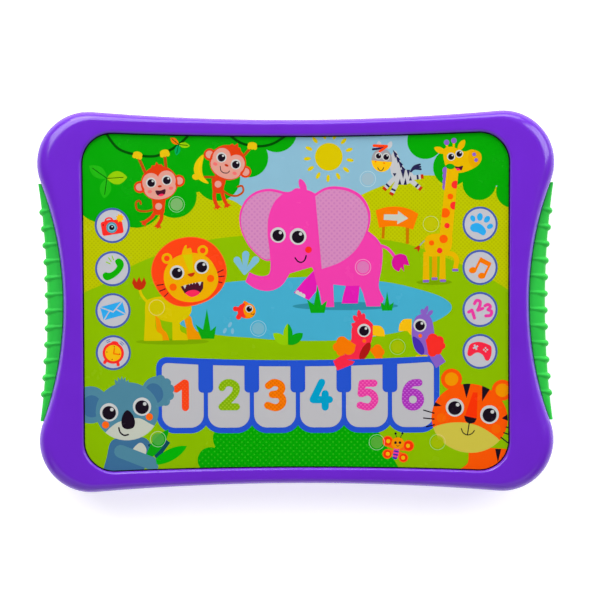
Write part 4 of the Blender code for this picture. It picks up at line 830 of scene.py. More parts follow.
def paint_koala():
    for x, y, radius in ((-96, -47.9, 8.7), (-64.7, -41.8, 7.2)):
        dot("koala", x, y, radius)
    for x, y in arc((-64.7, -41.8), 5.9, -50, 75, 4):
        dot("koala", x, y, 2.2)
    dot("koala_dark", -95.4, -48.6, 4.7, 5.2)
    dot("koala_dark", -66.2, -42.6, 4.2, 4.8, 20)
    patch("koala_dark", (-85, -64), (-71, -63.4), (-67.6, -70), (-71, -78), (-76, -84), (-90, -84),
        (-88.4, -72))
    patch("koala_white", (-76.6, -70), (-73.6, -66), (-71.2, -66.6), (-70, -70), (-72.6, -75))
    paint([(-69.4, -66.6), (-60.6, -64.4), (-58.8, -65.8), (-65, -74)], "stem")
    paint_leaf("grass", (-70.4, -74), (-59.5, -59.4), 5.0, 0.7)
    paint_leaf("leaf_bright", (-67.4, -76), (-51, -67.4), 5.4, 0.7)
    paint_spikes("koala", -81.2, -38.6, 3.0, (3.2, 2.4), (1.6, 3.7), (0, 4.2), (-1.8, 3.6), (-3.4, 2.6))
    head = dot("koala", -78.8, -51, 14.8, 13.6, 6)
    patch("koala_white", (-90.4, -63), (-85.6, -57.6), (-80, -55), (-73.6, -54.2), (-68.6, -56.6),
        (-64, -60), (-68, -66), (-79, -67), (-88, -66), inside=[head])
    paint_eye(-87.3, -51.4, 4.3)
    paint_eye(-71.9, -48.8, 4.3)
    patch("black", (-78.8, -50.4), (-76.4, -52.4), (-75.2, -56), (-76, -58.6), (-78.8, -59.4), (-81, -58.4),
        (-81.6, -55.6), (-80.8, -52.4))
    stroke("black", 0.75, (-82.8, -58.7), (-82.2, -60.8), (-80.4, -62.2), (-78.4, -61.9))
    for x, y in ((-89, -57.3), (-68.5, -53.6)):
        dot("cheek", x, y, 1.7)
    stroke("koala", 6.2, (-82, -69.8), (-75.4, -72.4), (-68.4, -75.2))
    for x, y in ((-67.2, -74), (-66.2, -77)):
        dot("koala", x, y, 1.7)


def paint_tiger():
    paint(spline([(80.6, -68), (80.6, -74), (79.6, -76.6), (76, -79)], False)
        + [(76, -90), (110, -90), (110, -69.2), (98, -69.2)], "tiger")
    for x in (94.6, 100):
        paint([(x - 1.5, -69.2), (x + 1.4, -69.2), (x - 0.2, -75.6)], "black")
    for x, y in ((72.7, -36.4), (96.4, -41.7)):
        dot("tiger", x, y, 4.95)
        dot("tiger_ear", x, y, 3.15)
    head = dot("tiger", 81.2, -54.8, 17.9, 16.2, -10)
    for stripe in (((77.6, -37), (82.1, -37), (79.7, -45.4)), ((87, -37.4), (91.4, -40), (87, -46.9)),
            ((62, -45.2), (68.2, -49), (62, -49.2)), ((100, -52), (96.2, -54.9), (100, -56.4))):
        paint(stripe, "black", inside=[head])
    paint([(82.7, -42.6), (84.9, -42.7), (84.6, -54.8), (78.9, -53.9)], "tiger_nose")
    patch("muzzle", (63.4, -59.6), (71, -57), (80.3, -57), (88.1, -59.8), (96, -66.2), (94, -71.4),
        (84, -73.4), (72, -71.4), (64, -64), inside=[head])
    paint([(78.6, -53.6), (84.5, -54.9)] + spline([(83.6, -56.7), (81, -57.3), (79.2, -56)], False), "black")
    bar("black", 0.5, (81, -57), (80.2, -62.3))
    stroke("black", 0.5, (77.3, -59.6), (78.2, -61.6), (80.2, -62.6), (82.2, -62), (83.4, -60.6))
    paint_eye(74.3, -49.7, 4.3)
    paint_eye(90.5, -53.1, 4.4)
    for x, y in ((68, -54.6), (93.6, -59.8)):
        dot("orange", x, y, 2.2, share=0.4, inside=[head])
    for ends in (((59.7, -50.9), (64.5, -52.3)), ((59.7, -54.6), (64.5, -55.1)),
            ((61, -58.7), (64.7, -57.8)), ((98.3, -59), (101, -59.4)), ((97.2, -61.6), (100, -62.6)),
            ((95.9, -63.8), (99, -66.3))):
        bar("black", 0.6, *ends)


def paint_butterfly():
    with art.around(47.6, -66.4):
        for x, y, radius in ((-4.7, 1.0, 2.6), (5.0, -1.2, 2.7), (-4.9, -5, 2.3), (2.6, -6.8, 2.3)):
            paint_wing("cheek", (-0.8, -3.2), (x, y, radius))
            dot("tiger_nose", x, y, radius - 0.5)
            dot("icon_yellow", x * 0.95, y, 0.95)
        body = block("deep_blue", -0.9, -4.6, 1.2, 3.0, 1.0, -12)
        for step in range(3):
            block("icon_pink", -0.6 - 0.3 * step, -3.1 - 1.5 * step, 1.6, 0.4, 0.2, -12, inside=[body])
        for x in (-0.7, 1.5):
            bar("black", 0.3, (x * 0.6, 2), (x * 1.4, 4.4))
            dot("black", x * 1.45, 4.6, 0.55)
        dot("tiger_ear", 0, 0, 3.0, 2.8)
        for x in (-1.1, 1.0):
            dot("black", x, 0.3, 0.65)
        stroke("black", 0.25, (-0.6, -1), (0, -1.4), (0.7, -1))


# ---------------------------------------------------------------- the picture: keys and lights


def row_top(x):
    """Top edge of the blue band round the number keys, which dips in the middle."""
    return ROW_TOP - ROW_SAG * (1 - ((x - KEY_ROW_X) / ROW_HALF) ** 2)


def key_centre(index):
    return KEY_ROW_X + KEY_PITCH * (index - (KEY_COUNT - 1) / 2)


def key_outline(index):
    """A white key: a shoulder beside each neighbour, a round foot, and a top that follows the band."""
    middle = key_centre(index)
    foot = arc((KEY_HALF - KEY_BEND, KEY_BOTTOM + KEY_BEND), KEY_BEND, -90, 0, 8)

    def side(sign, plain):
        if plain:
            corner_y = row_top(middle + sign * KEY_HALF) - ROW_BAND - KEY_TOP_RADIUS
            return foot + arc((KEY_HALF - KEY_TOP_RADIUS, corner_y), KEY_TOP_RADIUS, 0, 90, 6)
        bend = KEY_SHOULDER_RADIUS
        shoulder = arc((KEY_NECK_HALF + bend, KEY_SHOULDER + bend), bend, 270, 180, 5)
        neck_top = row_top(middle + sign * KEY_NECK_HALF) - ROW_BAND
        return foot + [(KEY_HALF, KEY_SHOULDER)] + shoulder + [(KEY_NECK_HALF, neck_top)]

    right = side(1, index == KEY_COUNT - 1)
    left = side(-1, index == 0)
    return [(middle + x, y) for x, y in right + [(-x, y) for x, y in reversed(left)]]


def paint_key_frame():
    half = KEY_HALF + FRAME_BORDER
    bend = KEY_BEND + FRAME_BORDER
    low = KEY_BOTTOM - FRAME_BORDER + bend
    for index in range(KEY_COUNT):
        middle = key_centre(index)
        foot = arc((middle + half - bend, low), bend, -90, 0, 10)
        foot += [(middle + half, KEY_SHOULDER), (middle - half, KEY_SHOULDER)]
        paint(foot + arc((middle - half + bend, low), bend, 180, 270, 10), "frame_blue")
    left, right = key_centre(0) - half, key_centre(KEY_COUNT - 1) + half
    corner = FRAME_TOP_RADIUS
    band = arc((right - corner, row_top(right - corner) - corner), corner, 0, 84, 10)
    steps = 24
    for step in range(1, steps):
        x = right - corner + (left - right + 2 * corner) * step / steps
        band.append((x, row_top(x)))
    band += arc((left + corner, row_top(left + corner) - corner), corner, 96, 180, 10)
    paint(band + [(left, KEY_SHOULDER - bend), (right, KEY_SHOULDER - bend)], "frame_blue")


DIGITS = (
    # ink, dot colour, smooth strokes, straight strokes
    ("mane", colour(250, 88, 46), (), (((-3.0, 3.0), (0.9, 5.8)), ((1.2, 5.7), (1.2, -5.7)))),
    ("lime_digit", colour(170, 205, 40),
     (((-3.2, 3.6), (-2.2, 5.2), (0.3, 5.9), (3.0, 4.6), (3.4, 2.2), (1.8, -0.6), (-3.0, -5.2)),),
     (((-3.2, -5.4), (3.5, -5.4)),)),
    ("orange", colour(232, 104, 0),
     (((-3.0, 4.4), (-0.5, 5.9), (2.4, 5.0), (3.2, 2.9), (1.6, 0.8), (-1.2, 0.3)),
      ((-1.2, 0.3), (2.2, -0.1), (3.7, -2.4), (2.8, -4.8), (0.2, -5.9), (-3.4, -4.8))), ()),
    ("teal", None, (), (((0.4, 5.9), (-3.6, -2.2)), ((-3.6, -2.2), (4.0, -2.2)), ((2.0, 0.6), (2.0, -5.7)))),
    ("icon_pink", colour(246, 104, 186),
     (((-2.7, 0.5), (0.6, 1.3), (3.2, -0.4), (3.5, -3.2), (1.0, -5.7), (-3.2, -4.9)),),
     (((3.3, 5.4), (-2.2, 5.4)), ((-2.2, 5.4), (-2.7, 0.5)))),
    ("digit_purple", colour(202, 104, 212), (((2.8, 5.6), (-0.6, 5.2), (-3.0, 2.4), (-3.6, -2.2)),), ()),
)


def paint_digit(index):
    ink, dots, curves, strokes = DIGITS[index]
    six = index == KEY_COUNT - 1
    with art.around(key_centre(index), DIGIT_Y):
        parts = [stroke(ink, DIGIT_WIDTH, *points) for points in curves]
        parts += [bar(ink, DIGIT_WIDTH, *points) for points in strokes]
        if six:
            parts.append(dot(ink, 0, LOOP_Y, LOOP_RADIUS + DIGIT_WIDTH / 2))
            dot("key_white", 0, LOOP_Y, LOOP_RADIUS - DIGIT_WIDTH / 2)
        if dots is None:
            return
        for row in range(-DOT_REACH, DOT_REACH + 1):
            for step in range(-DOT_REACH, DOT_REACH + 1):
                x, y = (row + step) * DOT_PITCH, (row - step) * DOT_PITCH
                hole = six and math.hypot(x, y - LOOP_Y) < LOOP_RADIUS - DIGIT_WIDTH / 2 + DOT_RADIUS
                if abs(x) <= DIGIT_BOX[0] and abs(y) <= DIGIT_BOX[1] and not hole:
                    dot(dots, x, y, DOT_RADIUS, inside=parts)


def icon_camera():
    dot("red", -1.2, 2.6, 2.0, 1.5)
    dot("disc_white", -1.2, 2.5, 1.3, 0.9)
    block("red", -0.2, -0.9, 5.0, 3.3, 1.0)
    block("red", -1.2, 2.2, 2.2, 0.6, 0.3)
    for radius, ink in ((2.6, "camera_teal"), (1.9, "splash"), (1.25, "black")):
        dot(ink, -0.4, -0.9, radius)
    dot("white", -0.1, -0.5, 0.35)
    dot("dark_red", -4.1, 0.9, 0.4)
    star = []
    points = 16
    for point in range(points):
        star += arc((3.6, 3.5), 2.2 if point % 2 else 1.35, 360 / points * point, 0, 1)[:1]
    paint(turned(star, (0, 0), -art.spot[2]), "icon_yellow")


def icon_phone():
    patch("icon_green", (1.2, 3.6), (2.2, 4.6), (3.6, 4.6), (5.0, 3.2), (5.0, 0.8), (3.2, -2.0), (0.2, -4.4),
        (-2.6, -5.4), (-4.3, -4.4), (-4.6, -2.6), (-3.4, -1.7), (-1.4, -1.9), (0.6, -0.8), (2.0, 1.0),
        (1.5, 2.4))
    for ends in (((-1.2, 2.3), (-2.9, 3.1)), ((-0.7, 3.4), (-1.8, 5.1)), ((0.4, 4.2), (-0.2, 5.9))):
        bar("lime_leaf", 0.55, *ends)


def icon_mail():
    block("icon_cyan", 0, 0, 5.4, 3.2, 0.5)
    for ends in (((-5.0, 2.9), (0, -0.6)), ((0, -0.6), (5.0, 2.9)), ((-5.0, -2.9), (-1.5, 0.4)),
            ((5.0, -2.9), (1.5, 0.4))):
        bar("disc_white", 0.55, *ends)


def icon_alarm():
    for side in (-1, 1):
        bar("red", 1.5, (2.6 * side, -3.8), (3.2 * side, -5.2))
        for radius in (5.7, 6.5):
            bar("ring_blue", 0.35, *arc((0, -0.2), radius, 90 - 24 * side, 90 - 40 * side, 3))
    dot("red", 0, 4.6, 1.7, 0.9)
    dot("red", 0, -0.2, 5.0)
    dot("icon_yellow", 0, -0.2, 3.8)
    for x, y in ((0, 3.0), (3.0, 0), (0, -3.0), (-3.0, 0)):
        dot("dark_red", x, y - 0.2, 0.3)
    bar("orange", 0.7, (0.2, -0.4), (0.2, 2.0))
    bar("orange", 0.7, (0.2, -0.4), (2.6, -0.4))


def icon_paw():
    patch("icon_cyan", (-1.2, 0.6), (0.6, -0.2), (2.0, -1.6), (2.8, -3.6), (1.6, -5.2), (0.2, -4.6),
        (-1.4, -3.8), (-3.4, -3.4), (-4.6, -2.2), (-4.2, -0.4), (-2.8, 0.4))
    for x, y, half, turn in ((-3.4, 2.7, 1.15, 25), (-0.1, 3.4, 1.35, -5), (3.2, 2.3, 1.3, -35),
            (4.6, -1.0, 1.15, -60)):
        dot("icon_cyan", x, y, half, half * 1.35, turn)


def icon_music():
    paint([(0.2, 4.8), (5.2, 2.2), (4.4, 0.2), (-0.4, 2.6)], "orange")
    for x, top, low_x, low in ((0.4, 4.2, -2.2, -1.2), (4.7, 1.8, 2.0, -3.8)):
        bar("orange", 1.1, (x, top), (low_x, low))
        dot("orange", low_x - 1.2, low - 0.1, 1.8, 1.45, 10)


def icon_numbers():
    bar("icon_pink", 1.5, (-5.3, -1.2), (-3.8, -0.3))
    bar("icon_pink", 1.5, (-3.7, -0.4), (-2.6, -4.0))
    stroke("icon_pink", 1.5, (-2.6, 2.7), (-1.6, 4.2), (0.0, 3.7), (-0.1, 1.8), (-1.1, -0.3))
    bar("icon_pink", 1.5, (-1.0, -0.4), (1.3, 0.5))
    stroke("icon_pink", 1.5, (2.3, 1.7), (3.8, 2.3), (4.8, 1.2), (3.7, -0.1))
    stroke("icon_pink", 1.5, (3.7, -0.1), (5.3, -0.9), (4.9, -2.7), (2.7, -3.0))


def icon_gamepad():
    patch("pink_red", (-4.4, 3.5), (-0.4, 4.5), (4.6, 2.9), (5.4, 0.8), (5.1, -2.2), (4.0, -4.2),
        (2.6, -4.0), (1.2, -1.6), (-0.9, -0.5), (-2.8, -1.1), (-4.4, -2.2), (-5.8, -1.6), (-5.6, 0.8))
    for turn in (25, 115):
        block("disc_white", -2.1, 2.0, 1.3, 0.4, 0.1, turn)
    for x, y in ((0.8, 0), (-0.8, 0), (0, 0.8), (0, -0.8)):
        dot("disc_white", 2.6 + x, 0.8 + y, 0.42)


# The pictures on the left and on the right, top first, and how far each is turned
ICONS = (
    ((icon_camera, 9), (icon_phone, 0), (icon_mail, 15), (icon_alarm, -10)),
    ((icon_paw, 0), (icon_music, 0), (icon_numbers, 0), (icon_gamepad, 0)),
)


def paint_keys():
    """The round keys and the number keys; returns which shape bounds each touch zone."""
    zones = {}
    for x, icons in zip(ICON_X, ICONS):
        for (draw, turn), y in zip(icons, ICON_Y):
            zones[draw.__name__.replace("icon_", "key_")] = dot("ring_blue", x, y, ICON_RADIUS)
            dot("disc_white", x, y, ICON_RADIUS - ICON_RING)
            with art.around(x, y, turn):
                draw()
    paint_key_frame()
    for index in range(KEY_COUNT):
        zones[f"key_{index + 1}"] = paint(key_outline(index), "key_white")
        paint_digit(index)
    return zones


def paint_spots():
    """Paler windows that let the lights through, each with a thin ring."""
    for x, y, tone in SPOTS:
        dot(colour(*tone), x, y, SPOT_RADIUS, share=0.88)
        inner, outer = SPOT_RING
        for start in (0, 180):
            half_ring = arc((x, y), outer, start, start + 180, 14)
            half_ring += arc((x, y), inner, start + 180, start, 14)
            paint(half_ring, PALE, RING_SHARE[tone[2] > LIME_BLUE])


def paint_everything():
    paint_land()
    paint_canopies()
    paint_sun()
    paint_pond()
    paint_sprig(-87.4, 57.7, (-78, 58.2, 6.2, "lime_leaf"), (-95.6, 63.5, 5.4, "leaf_dim"),
        (-88.8, 48.4, 5.4, "leaf_dim"))
    paint_sprig(-54, 73.3, (-57.8, 76.4, 2.6, "orange"), (-48.8, 72.6, 2.6, "lime_leaf"),
        (-55.1, 68.2, 2.6, "leaf_teal"))
    paint_monkeys()
    paint_zebra()
    paint_giraffe()
    paint_sign()
    paint_elephant()
    paint_spikes("grass", 10.3, -5.3, 3.2, (4.4, 5.8), (0, 13), (-4.9, 6.2))
    paint_spikes("grass", 42.7, -4.3, 2.3, (3.1, 4), (0, 9), (-3.2, 4))
    paint_lion()
    paint_spikes("grass", -40.9, -17.1, 2.9, (3.9, 5.9), (-0.4, 14), (-5.9, 6.8))
    paint_fish()
    for tip, ink in (((-10.5, -14.7), "lime_leaf"), ((3.4, -14.7), "grass"), ((-3.6, -10.1), "lime_leaf")):
        blade = paint_leaf(ink, (-3.6, -20), tip, 4.4, 0.7)
    paint([(-3.6, -20.5), (0, -20.5), (0, -9), (-3.6, -9)], "grass", inside=[blade])
    paint_parrots()
    paint_bush()
    zones = paint_keys()
    paint([(21.4, -26.4), (27.6, -28), (26.4, -29.4), (19.4, -32.2), (17.4, -27.6)], "pink_red")
    paint_purple_wing()
    paint_koala()
    paint_tiger()
    paint_butterfly()
    paint_spots()
    return zones


# ---------------------------------------------------------------- materials


def set_inputs(tree, node, inputs):
    """Give each input a value, or link it to the output of another node."""
    for key, value in inputs.items():
        if isinstance(value, bpy.types.NodeSocket):
            tree.links.new(value, node.inputs[key])
        else:
            node.inputs[key].default_value = value


def add_node(tree, kind, inputs, output=0, **settings):
    """A node with its settings and inputs; returns one of its outputs."""
    made = tree.nodes.new("ShaderNode" + kind)
    for name, value in settings.items():
        setattr(made, name, value)
    set_inputs(tree, made, inputs)
    return made.outputs[output]


def new_material(name):
    """A Principled material, its node tree and its shader."""
    material = bpy.data.materials.new(name)
    material.use_nodes = True
    return material, material.node_tree, material.node_tree.nodes["Principled BSDF"]


def own_place(tree):
    """The object's own coordinates, which are metres."""
    return add_node(tree, "TexCoord", {}, "Object")


def noise(tree, scale, detail, stretch=(1, 1, 1)):
    """Noise with a scale in features a metre."""
    place = add_node(tree, "Mapping", {"Vector": own_place(tree), "Scale": stretch})
    return add_node(tree, "TexNoise", {"Vector": place, "Scale": scale, "Detail": detail}, "Fac")


def spread(tree, value, low, high, start=0.3, end=0.7):
    """The value from start to end spread between two bounds."""
    return add_node(tree, "MapRange", {
        "Value": value, "From Min": start, "From Max": end, "To Min": low, "To Max": high})


def blended(tree, factor, first, second):
    """A colour between two, each a colour or another node's output."""
    first, second = ((*value, 1) if isinstance(value, tuple) else value for value in (first, second))
    return add_node(tree, "Mix", {"Factor": factor, 6: first, 7: second}, 2, data_type="RGBA")


def shaded(tree, clouds, tone, depth):
    """The tone, darkened to this depth where the clouds are thin."""
    return blended(tree, spread(tree, clouds, 0, 1), tuple(channel * depth for channel in tone), tone)


def bump(tree, height, strength, distance):
    return add_node(tree, "Bump", {"Height": height, "Strength": strength, "Distance": distance}, "Normal")


def plastic(name, tone, roughness, coat=0.0, shade=0.90, grain=900, grain_depth=0.00002, wear=0.08,
            shine=0.5):
    """Moulded plastic: slow changes of shade, a fine grain, and uneven shine."""
    material, tree, shader = new_material(name)
    set_inputs(tree, shader, {
        "Base Color": shaded(tree, noise(tree, 38, 4), tone, shade),
        "Roughness": spread(tree, noise(tree, 160, 6), roughness - wear / 2, roughness + wear),
        "Coat Weight": coat,
        "Specular IOR Level": shine,
        "Normal": bump(tree, noise(tree, grain, 4), 0.35, grain_depth),
    })
    return material


def metal(name, tone, roughness, stretch):
    """Bright metal with fine lines from rolling or turning."""
    material, tree, shader = new_material(name)
    lines = noise(tree, 900, 6, stretch)
    set_inputs(tree, shader, {
        "Base Color": shaded(tree, noise(tree, 120, 5), tone, 0.72),
        "Roughness": spread(tree, lines, roughness - 0.08, roughness + 0.14),
        "Metallic": 1.0,
        "Normal": bump(tree, lines, 0.4, 0.00003),
    })
    return material


def lattice(tree, pitch, radius):
    """Round dots on a square lattice at 45 degrees: 1 inside a dot, 0 outside; sizes in mm."""
    place = add_node(tree, "Mapping", {
        "Vector": own_place(tree), "Rotation": (0, 0, math.radians(45)), "Scale": (1 / (pitch * MM),) * 3})
    squares = []
    for axis in ("X", "Y"):
        along = add_node(tree, "SeparateXYZ", {"Vector": place}, axis)
        offset = add_node(tree, "Math", {0: along, 1: 0.5}, operation="PINGPONG")
        squares.append(add_node(tree, "Math", {0: offset, 1: offset}, operation="MULTIPLY"))
    total = add_node(tree, "Math", dict(enumerate(squares)), operation="ADD")
    distance = add_node(tree, "Math", {0: total}, operation="SQRT")
    edge = radius / pitch
    return spread(tree, distance, 0, 1, edge + DOT_SOFTNESS, edge - DOT_SOFTNESS)


def exposed(tone):
    """Surface colour that reads as the tone under this scene's lights."""
    return tuple(min(channel / EXPOSURE, 1.0) for channel in tone)


def printed(name, tone, halftone=None, mottled=False):
    """Ink under a satin film, plain, with a halftone of dots, or softly mottled."""
    material, tree, shader = new_material(name)
    seen = (*tone, 1)
    if halftone:
        dot_tone, pitch, radius = halftone
        seen = blended(tree, lattice(tree, pitch, radius), tone, exposed(dot_tone))
    elif mottled:
        seen = shaded(tree, noise(tree, 90, 4), tone, 0.97)
    uneven = noise(tree, 140, 3)
    set_inputs(tree, shader, {
        "Base Color": seen,
        "Roughness": spread(tree, uneven, FILM_ROUGHNESS - 0.04, FILM_ROUGHNESS + 0.04),
        "Specular IOR Level": FILM_SHINE,
        "Normal": bump(tree, uneven, 0.2, 0.00001),
    })
    return material


# ---------------------------------------------------------------- the film as solid pieces


def tessellate(outlines):
    """Cut the plane along every outline: the points, the triangles, and the outlines over each triangle."""
    points, faces = [], []
    for outline in outlines:
        around = zip(outline, outline[1:] + outline[:1])
        area = sum(ax * by - bx * ay for (ax, ay), (bx, by) in around)
        ring = outline if area > 0 else outline[::-1]
        faces.append(list(range(len(points), len(points) + len(ring))))
        points += [Vector(point) for point in ring]
    places, _, triangles, _, _, owners = delaunay_2d_cdt(points, [], faces, 1, CUT_GAP)
    return places, triangles, [frozenset(owner) for owner in owners]


def border_of(cut):
    """The directed edges round a set of triangles, each with the finish inside it."""
    edges = {}
    for triangle, finish in cut:
        for first, second in zip(triangle, (*triangle[1:], triangle[0])):
            if (second, first) in edges:
                del edges[second, first]
            else:
                edges[first, second] = finish
    return edges


def drawn_in(places, edges, gap):
    """The points, with those on the edges moved inwards by the gap."""
    shifts = {}
    for first, second in edges:
        along = (places[second] - places[first]).normalized()
        for index in (first, second):
            shifts[index] = shifts.get(index, Vector((0, 0))) + Vector((-along.y, along.x))
    made = list(places)
    for index, shift in shifts.items():
        made[index] = places[index] + shift.normalized() * gap
    return made


def film_piece(name, places, cut, finishes, gap):
    """A closed sheet of the film's thickness: triangles with their finish, mirrored below, and walls."""
    mesh = bmesh.new()
    edges = border_of(cut)
    places = drawn_in(places, edges, gap)
    order = list(dict.fromkeys(finish for _, finish in cut))
    corners = {}

    def add_face(finish, *corner_keys):
        for index, height in corner_keys:
            if (index, height) not in corners:
                corners[index, height] = mesh.verts.new((places[index].x * MM, places[index].y * MM, height))
        face = mesh.faces.new([corners[key] for key in corner_keys])
        face.material_index = order.index(finish)

    low, high = FILM_Z
    for triangle, finish in cut:
        add_face(finish, *((index, high) for index in triangle))
        add_face(finish, *((index, low) for index in reversed(triangle)))
    for (first, second), finish in edges.items():
        add_face(finish, (second, high), (first, high), (first, low), (second, low))
    data = bpy.data.meshes.new(name)
    mesh.to_mesh(data)
    mesh.free()
    for finish in order:
        data.materials.append(finishes[finish])
    return add_object(name, data)


def add_object(name, data):
    made = bpy.data.objects.new(name, data)
    bpy.context.scene.collection.objects.link(made)
    return made


def make_film():
    """The printed film and its touch zones: one flat picture, cut along the zones' edges."""
    zones = paint_everything()
    panel = paint(window_outline(FILM_MARGIN), None)
    # Inside this outline the print keeps its inks; outside it, a band is painted black as the rim's shadow
    clear_of_rim_shadow = paint(window_outline(-RIM_SHADOW_WIDTH), None)
    places, triangles, owners = tessellate([outline for outline, *_ in art.shapes])
    seen, cuts, finishes = {}, {}, {}
    for triangle, owner in zip(triangles, owners):
        if panel not in owner:
            continue
        if owner not in seen:
            # Outside that outline the film is painted black: a painted shadow of the rim on the print
            seen[owner] = art.finish_of(owner) if clear_of_rim_shadow in owner else ("black", INK["black"])
        ink, tone = seen[owner]
        piece = next((name for name, zone in zones.items() if zone in owner), None)
        if piece is None:
            piece = "film_backdrop" if ink in SHADES else "film_pictures"
        if ink in SHADES and piece == "film_backdrop":
            finish, label = ink, f"print_{ink}"
        else:
            finish, label = tuple(round(c, 4) for c in tone), f"print_{ink or 'blend'}_{len(finishes)}"
        if finish not in finishes:
            halftone = SHADES.get(finish)
            finishes[finish] = printed(label, exposed(tone), halftone, mottled=finish in SHADES)
        cuts.setdefault(piece, []).append((triangle, finish))
    for piece, cut in cuts.items():
        made = film_piece(f"print_{piece}", places, cut, finishes, ZONE_GAP if piece in zones else 0.0)
        if piece in zones:
            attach(made, piece)
            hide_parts(piece)
        else:
            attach(made, "case")
            if piece == "film_backdrop":
                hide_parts("overlay_film")


# ---------------------------------------------------------------- casing and grips


def loft(mesh, rings, closed):
    """Quads between rings of points in mm; closed also joins the last ring to the first."""
    made = [[mesh.verts.new(Vector(point) * MM) for point in ring] for ring in rings]
    pairs = list(zip(made, made[1:]))
    if closed:
        pairs.append((made[-1], made[0]))
    for lower, upper in pairs:
        for index in range(len(lower)):
            after = (index + 1) % len(lower)
            mesh.faces.new((lower[index], lower[after], upper[after], upper[index]))
    if not closed:
        mesh.faces.new(made[0][::-1])
        mesh.faces.new(made[-1])


def smooth_piece(name, mesh, material, sharp_degrees=35):
    bmesh.ops.recalc_face_normals(mesh, faces=mesh.faces)
    for face in mesh.faces:
        face.smooth = True
    for edge in mesh.edges:
        if len(edge.link_faces) == 2 and edge.calc_face_angle(0) > math.radians(sharp_degrees):
            edge.smooth = False
    data = bpy.data.meshes.new(name)
    mesh.to_mesh(data)
    mesh.free()
    data.materials.append(material)
    return add_object(name, data)


def at_height(outline, height):
    return [(x, y, height) for x, y in outline]


def between(first, second, share):
    return [(ax + (bx - ax) * share, ay + (by - ay) * share) for (ax, ay), (bx, by) in zip(first, second)]


def reached(outline, inward, reaches, share):
    """The outline moved towards the inside by a share of each point's own reach, in mm."""
    return [(x + (ix - x) * reach * share, y + (iy - y) * reach * share)
            for (x, y), (ix, iy), reach in zip(outline, inward, reaches)]


def make_front_shell(material):
    """One closed ring: side wall, rounded front edge, flat face, lip, and the inside."""
    mesh = bmesh.new()
    outer, inward, lip = case_outline(), case_outline(1.0), window_outline(LIP_RADIUS)
    least, most = EDGE_REACH
    reaches = [min(max(EDGE_SHARE * math.dist(a, b), least), most) for a, b in zip(outer, lip)]
    rings = [at_height(outer, SHELL_FOOT + SEAM_BREAK)]
    for step in range(EDGE_STEPS + 1):
        angle = math.pi / 2 * step / EDGE_STEPS
        ring = reached(outer, inward, reaches, 1 - math.cos(angle))
        rings.append(at_height(ring, CASE_TOP - EDGE_HEIGHT * (1 - math.sin(angle))))
    face = reached(outer, inward, reaches, 1)
    rings.append(at_height(between(face, lip, 0.5), CASE_TOP))
    for step in range(EDGE_STEPS + 1):
        angle = math.pi / 2 * step / EDGE_STEPS
        grow = LIP_RADIUS * (1 - math.sin(angle))
        rings.append(at_height(window_outline(grow), CASE_TOP - LIP_RADIUS * (1 - math.cos(angle))))
    rings.append(at_height(window_outline(), RIM_UNDERSIDE))
    for step in range(EDGE_STEPS + 1):
        angle = math.pi / 2 * (1 - step / EDGE_STEPS)
        inset = WALL + INNER_BEND * (1 - math.cos(angle))
        rings.append(at_height(case_outline(inset), RIM_UNDERSIDE - INNER_BEND * (1 - math.sin(angle))))
    rings.append(at_height(case_outline(WALL), SHELL_FOOT))
    rings.append(at_height(case_outline(SEAM_BREAK), SHELL_FOOT))
    loft(mesh, rings, closed=True)
    boss_top = RIM_UNDERSIDE + BOSS_SINK
    for side_x in (-1, 1):
        for side_y in (-1, 1):
            centre = (side_x * SCREW_X, side_y * SCREW_Y)
            tube = [at_height(arc(centre, radius, 0, 345, 23), height)
                    for radius, height in ((BOSS_RADIUS, SHELL_FOOT), (BOSS_RADIUS, boss_top),
                                           (BOSS_BORE, boss_top), (BOSS_BORE, SHELL_FOOT))]
            loft(mesh, tube, closed=True)
    made = smooth_piece("front_shell", mesh, material)
    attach(made, "case")
    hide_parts("front_bezel")


def case_arc(x, y):
    """The arc of the casing's outline beside a place: centre, radius, and 1 if it bulges or -1 if not."""
    corner_x, corner_y = CASE_CORNER
    side_centre, side_reach, top_centre, top_reach = waist_arcs(CASE_CORNER, CASE_WAIST)
    angle = math.atan2(abs(y) - corner_y, abs(x) - corner_x)
    if angle < -math.asin(corner_y / side_reach):
        centre, radius, bulge = side_centre, side_reach - CASE_RADIUS, -1
    elif angle > math.pi / 2 + math.asin(corner_x / top_reach):
        centre, radius, bulge = top_centre, top_reach - CASE_RADIUS, -1
    else:
        centre, radius, bulge = CASE_CORNER, CASE_RADIUS, 1
    return Vector((math.copysign(centre[0], x), math.copysign(centre[1], y))), radius, bulge


def skin_place(vertex):
    """Where the rear casing's curved outside has this point, at the point's own height."""
    x, y, z = vertex.co / MM
    drop = max(BACK_EDGE - z, 0)
    inset = BACK_EDGE - math.sqrt(BACK_EDGE ** 2 - drop ** 2)
    centre, radius, bulge = case_arc(x, y)
    along = (Vector((x, y)) - centre).normalized()
    return Vector((*(centre + along * (radius - bulge * inset)), z)) * MM


def cut_skin(mesh, cuts, chosen):
    """Cut edges that lie on the curved outside, and put the new points on the curve."""
    edges = [edge for edge in mesh.edges if chosen(*sorted(vertex.co.z / MM for vertex in edge.verts))
             and all((vertex.co - skin_place(vertex)).length < SKIN_GAP * MM for vertex in edge.verts)]
    made = bmesh.ops.subdivide_edges(mesh, edges=edges, cuts=cuts, use_grid_fill=True)
    for item in made["geom_inner"]:
        if isinstance(item, bmesh.types.BMVert):
            item.co = skin_place(item)


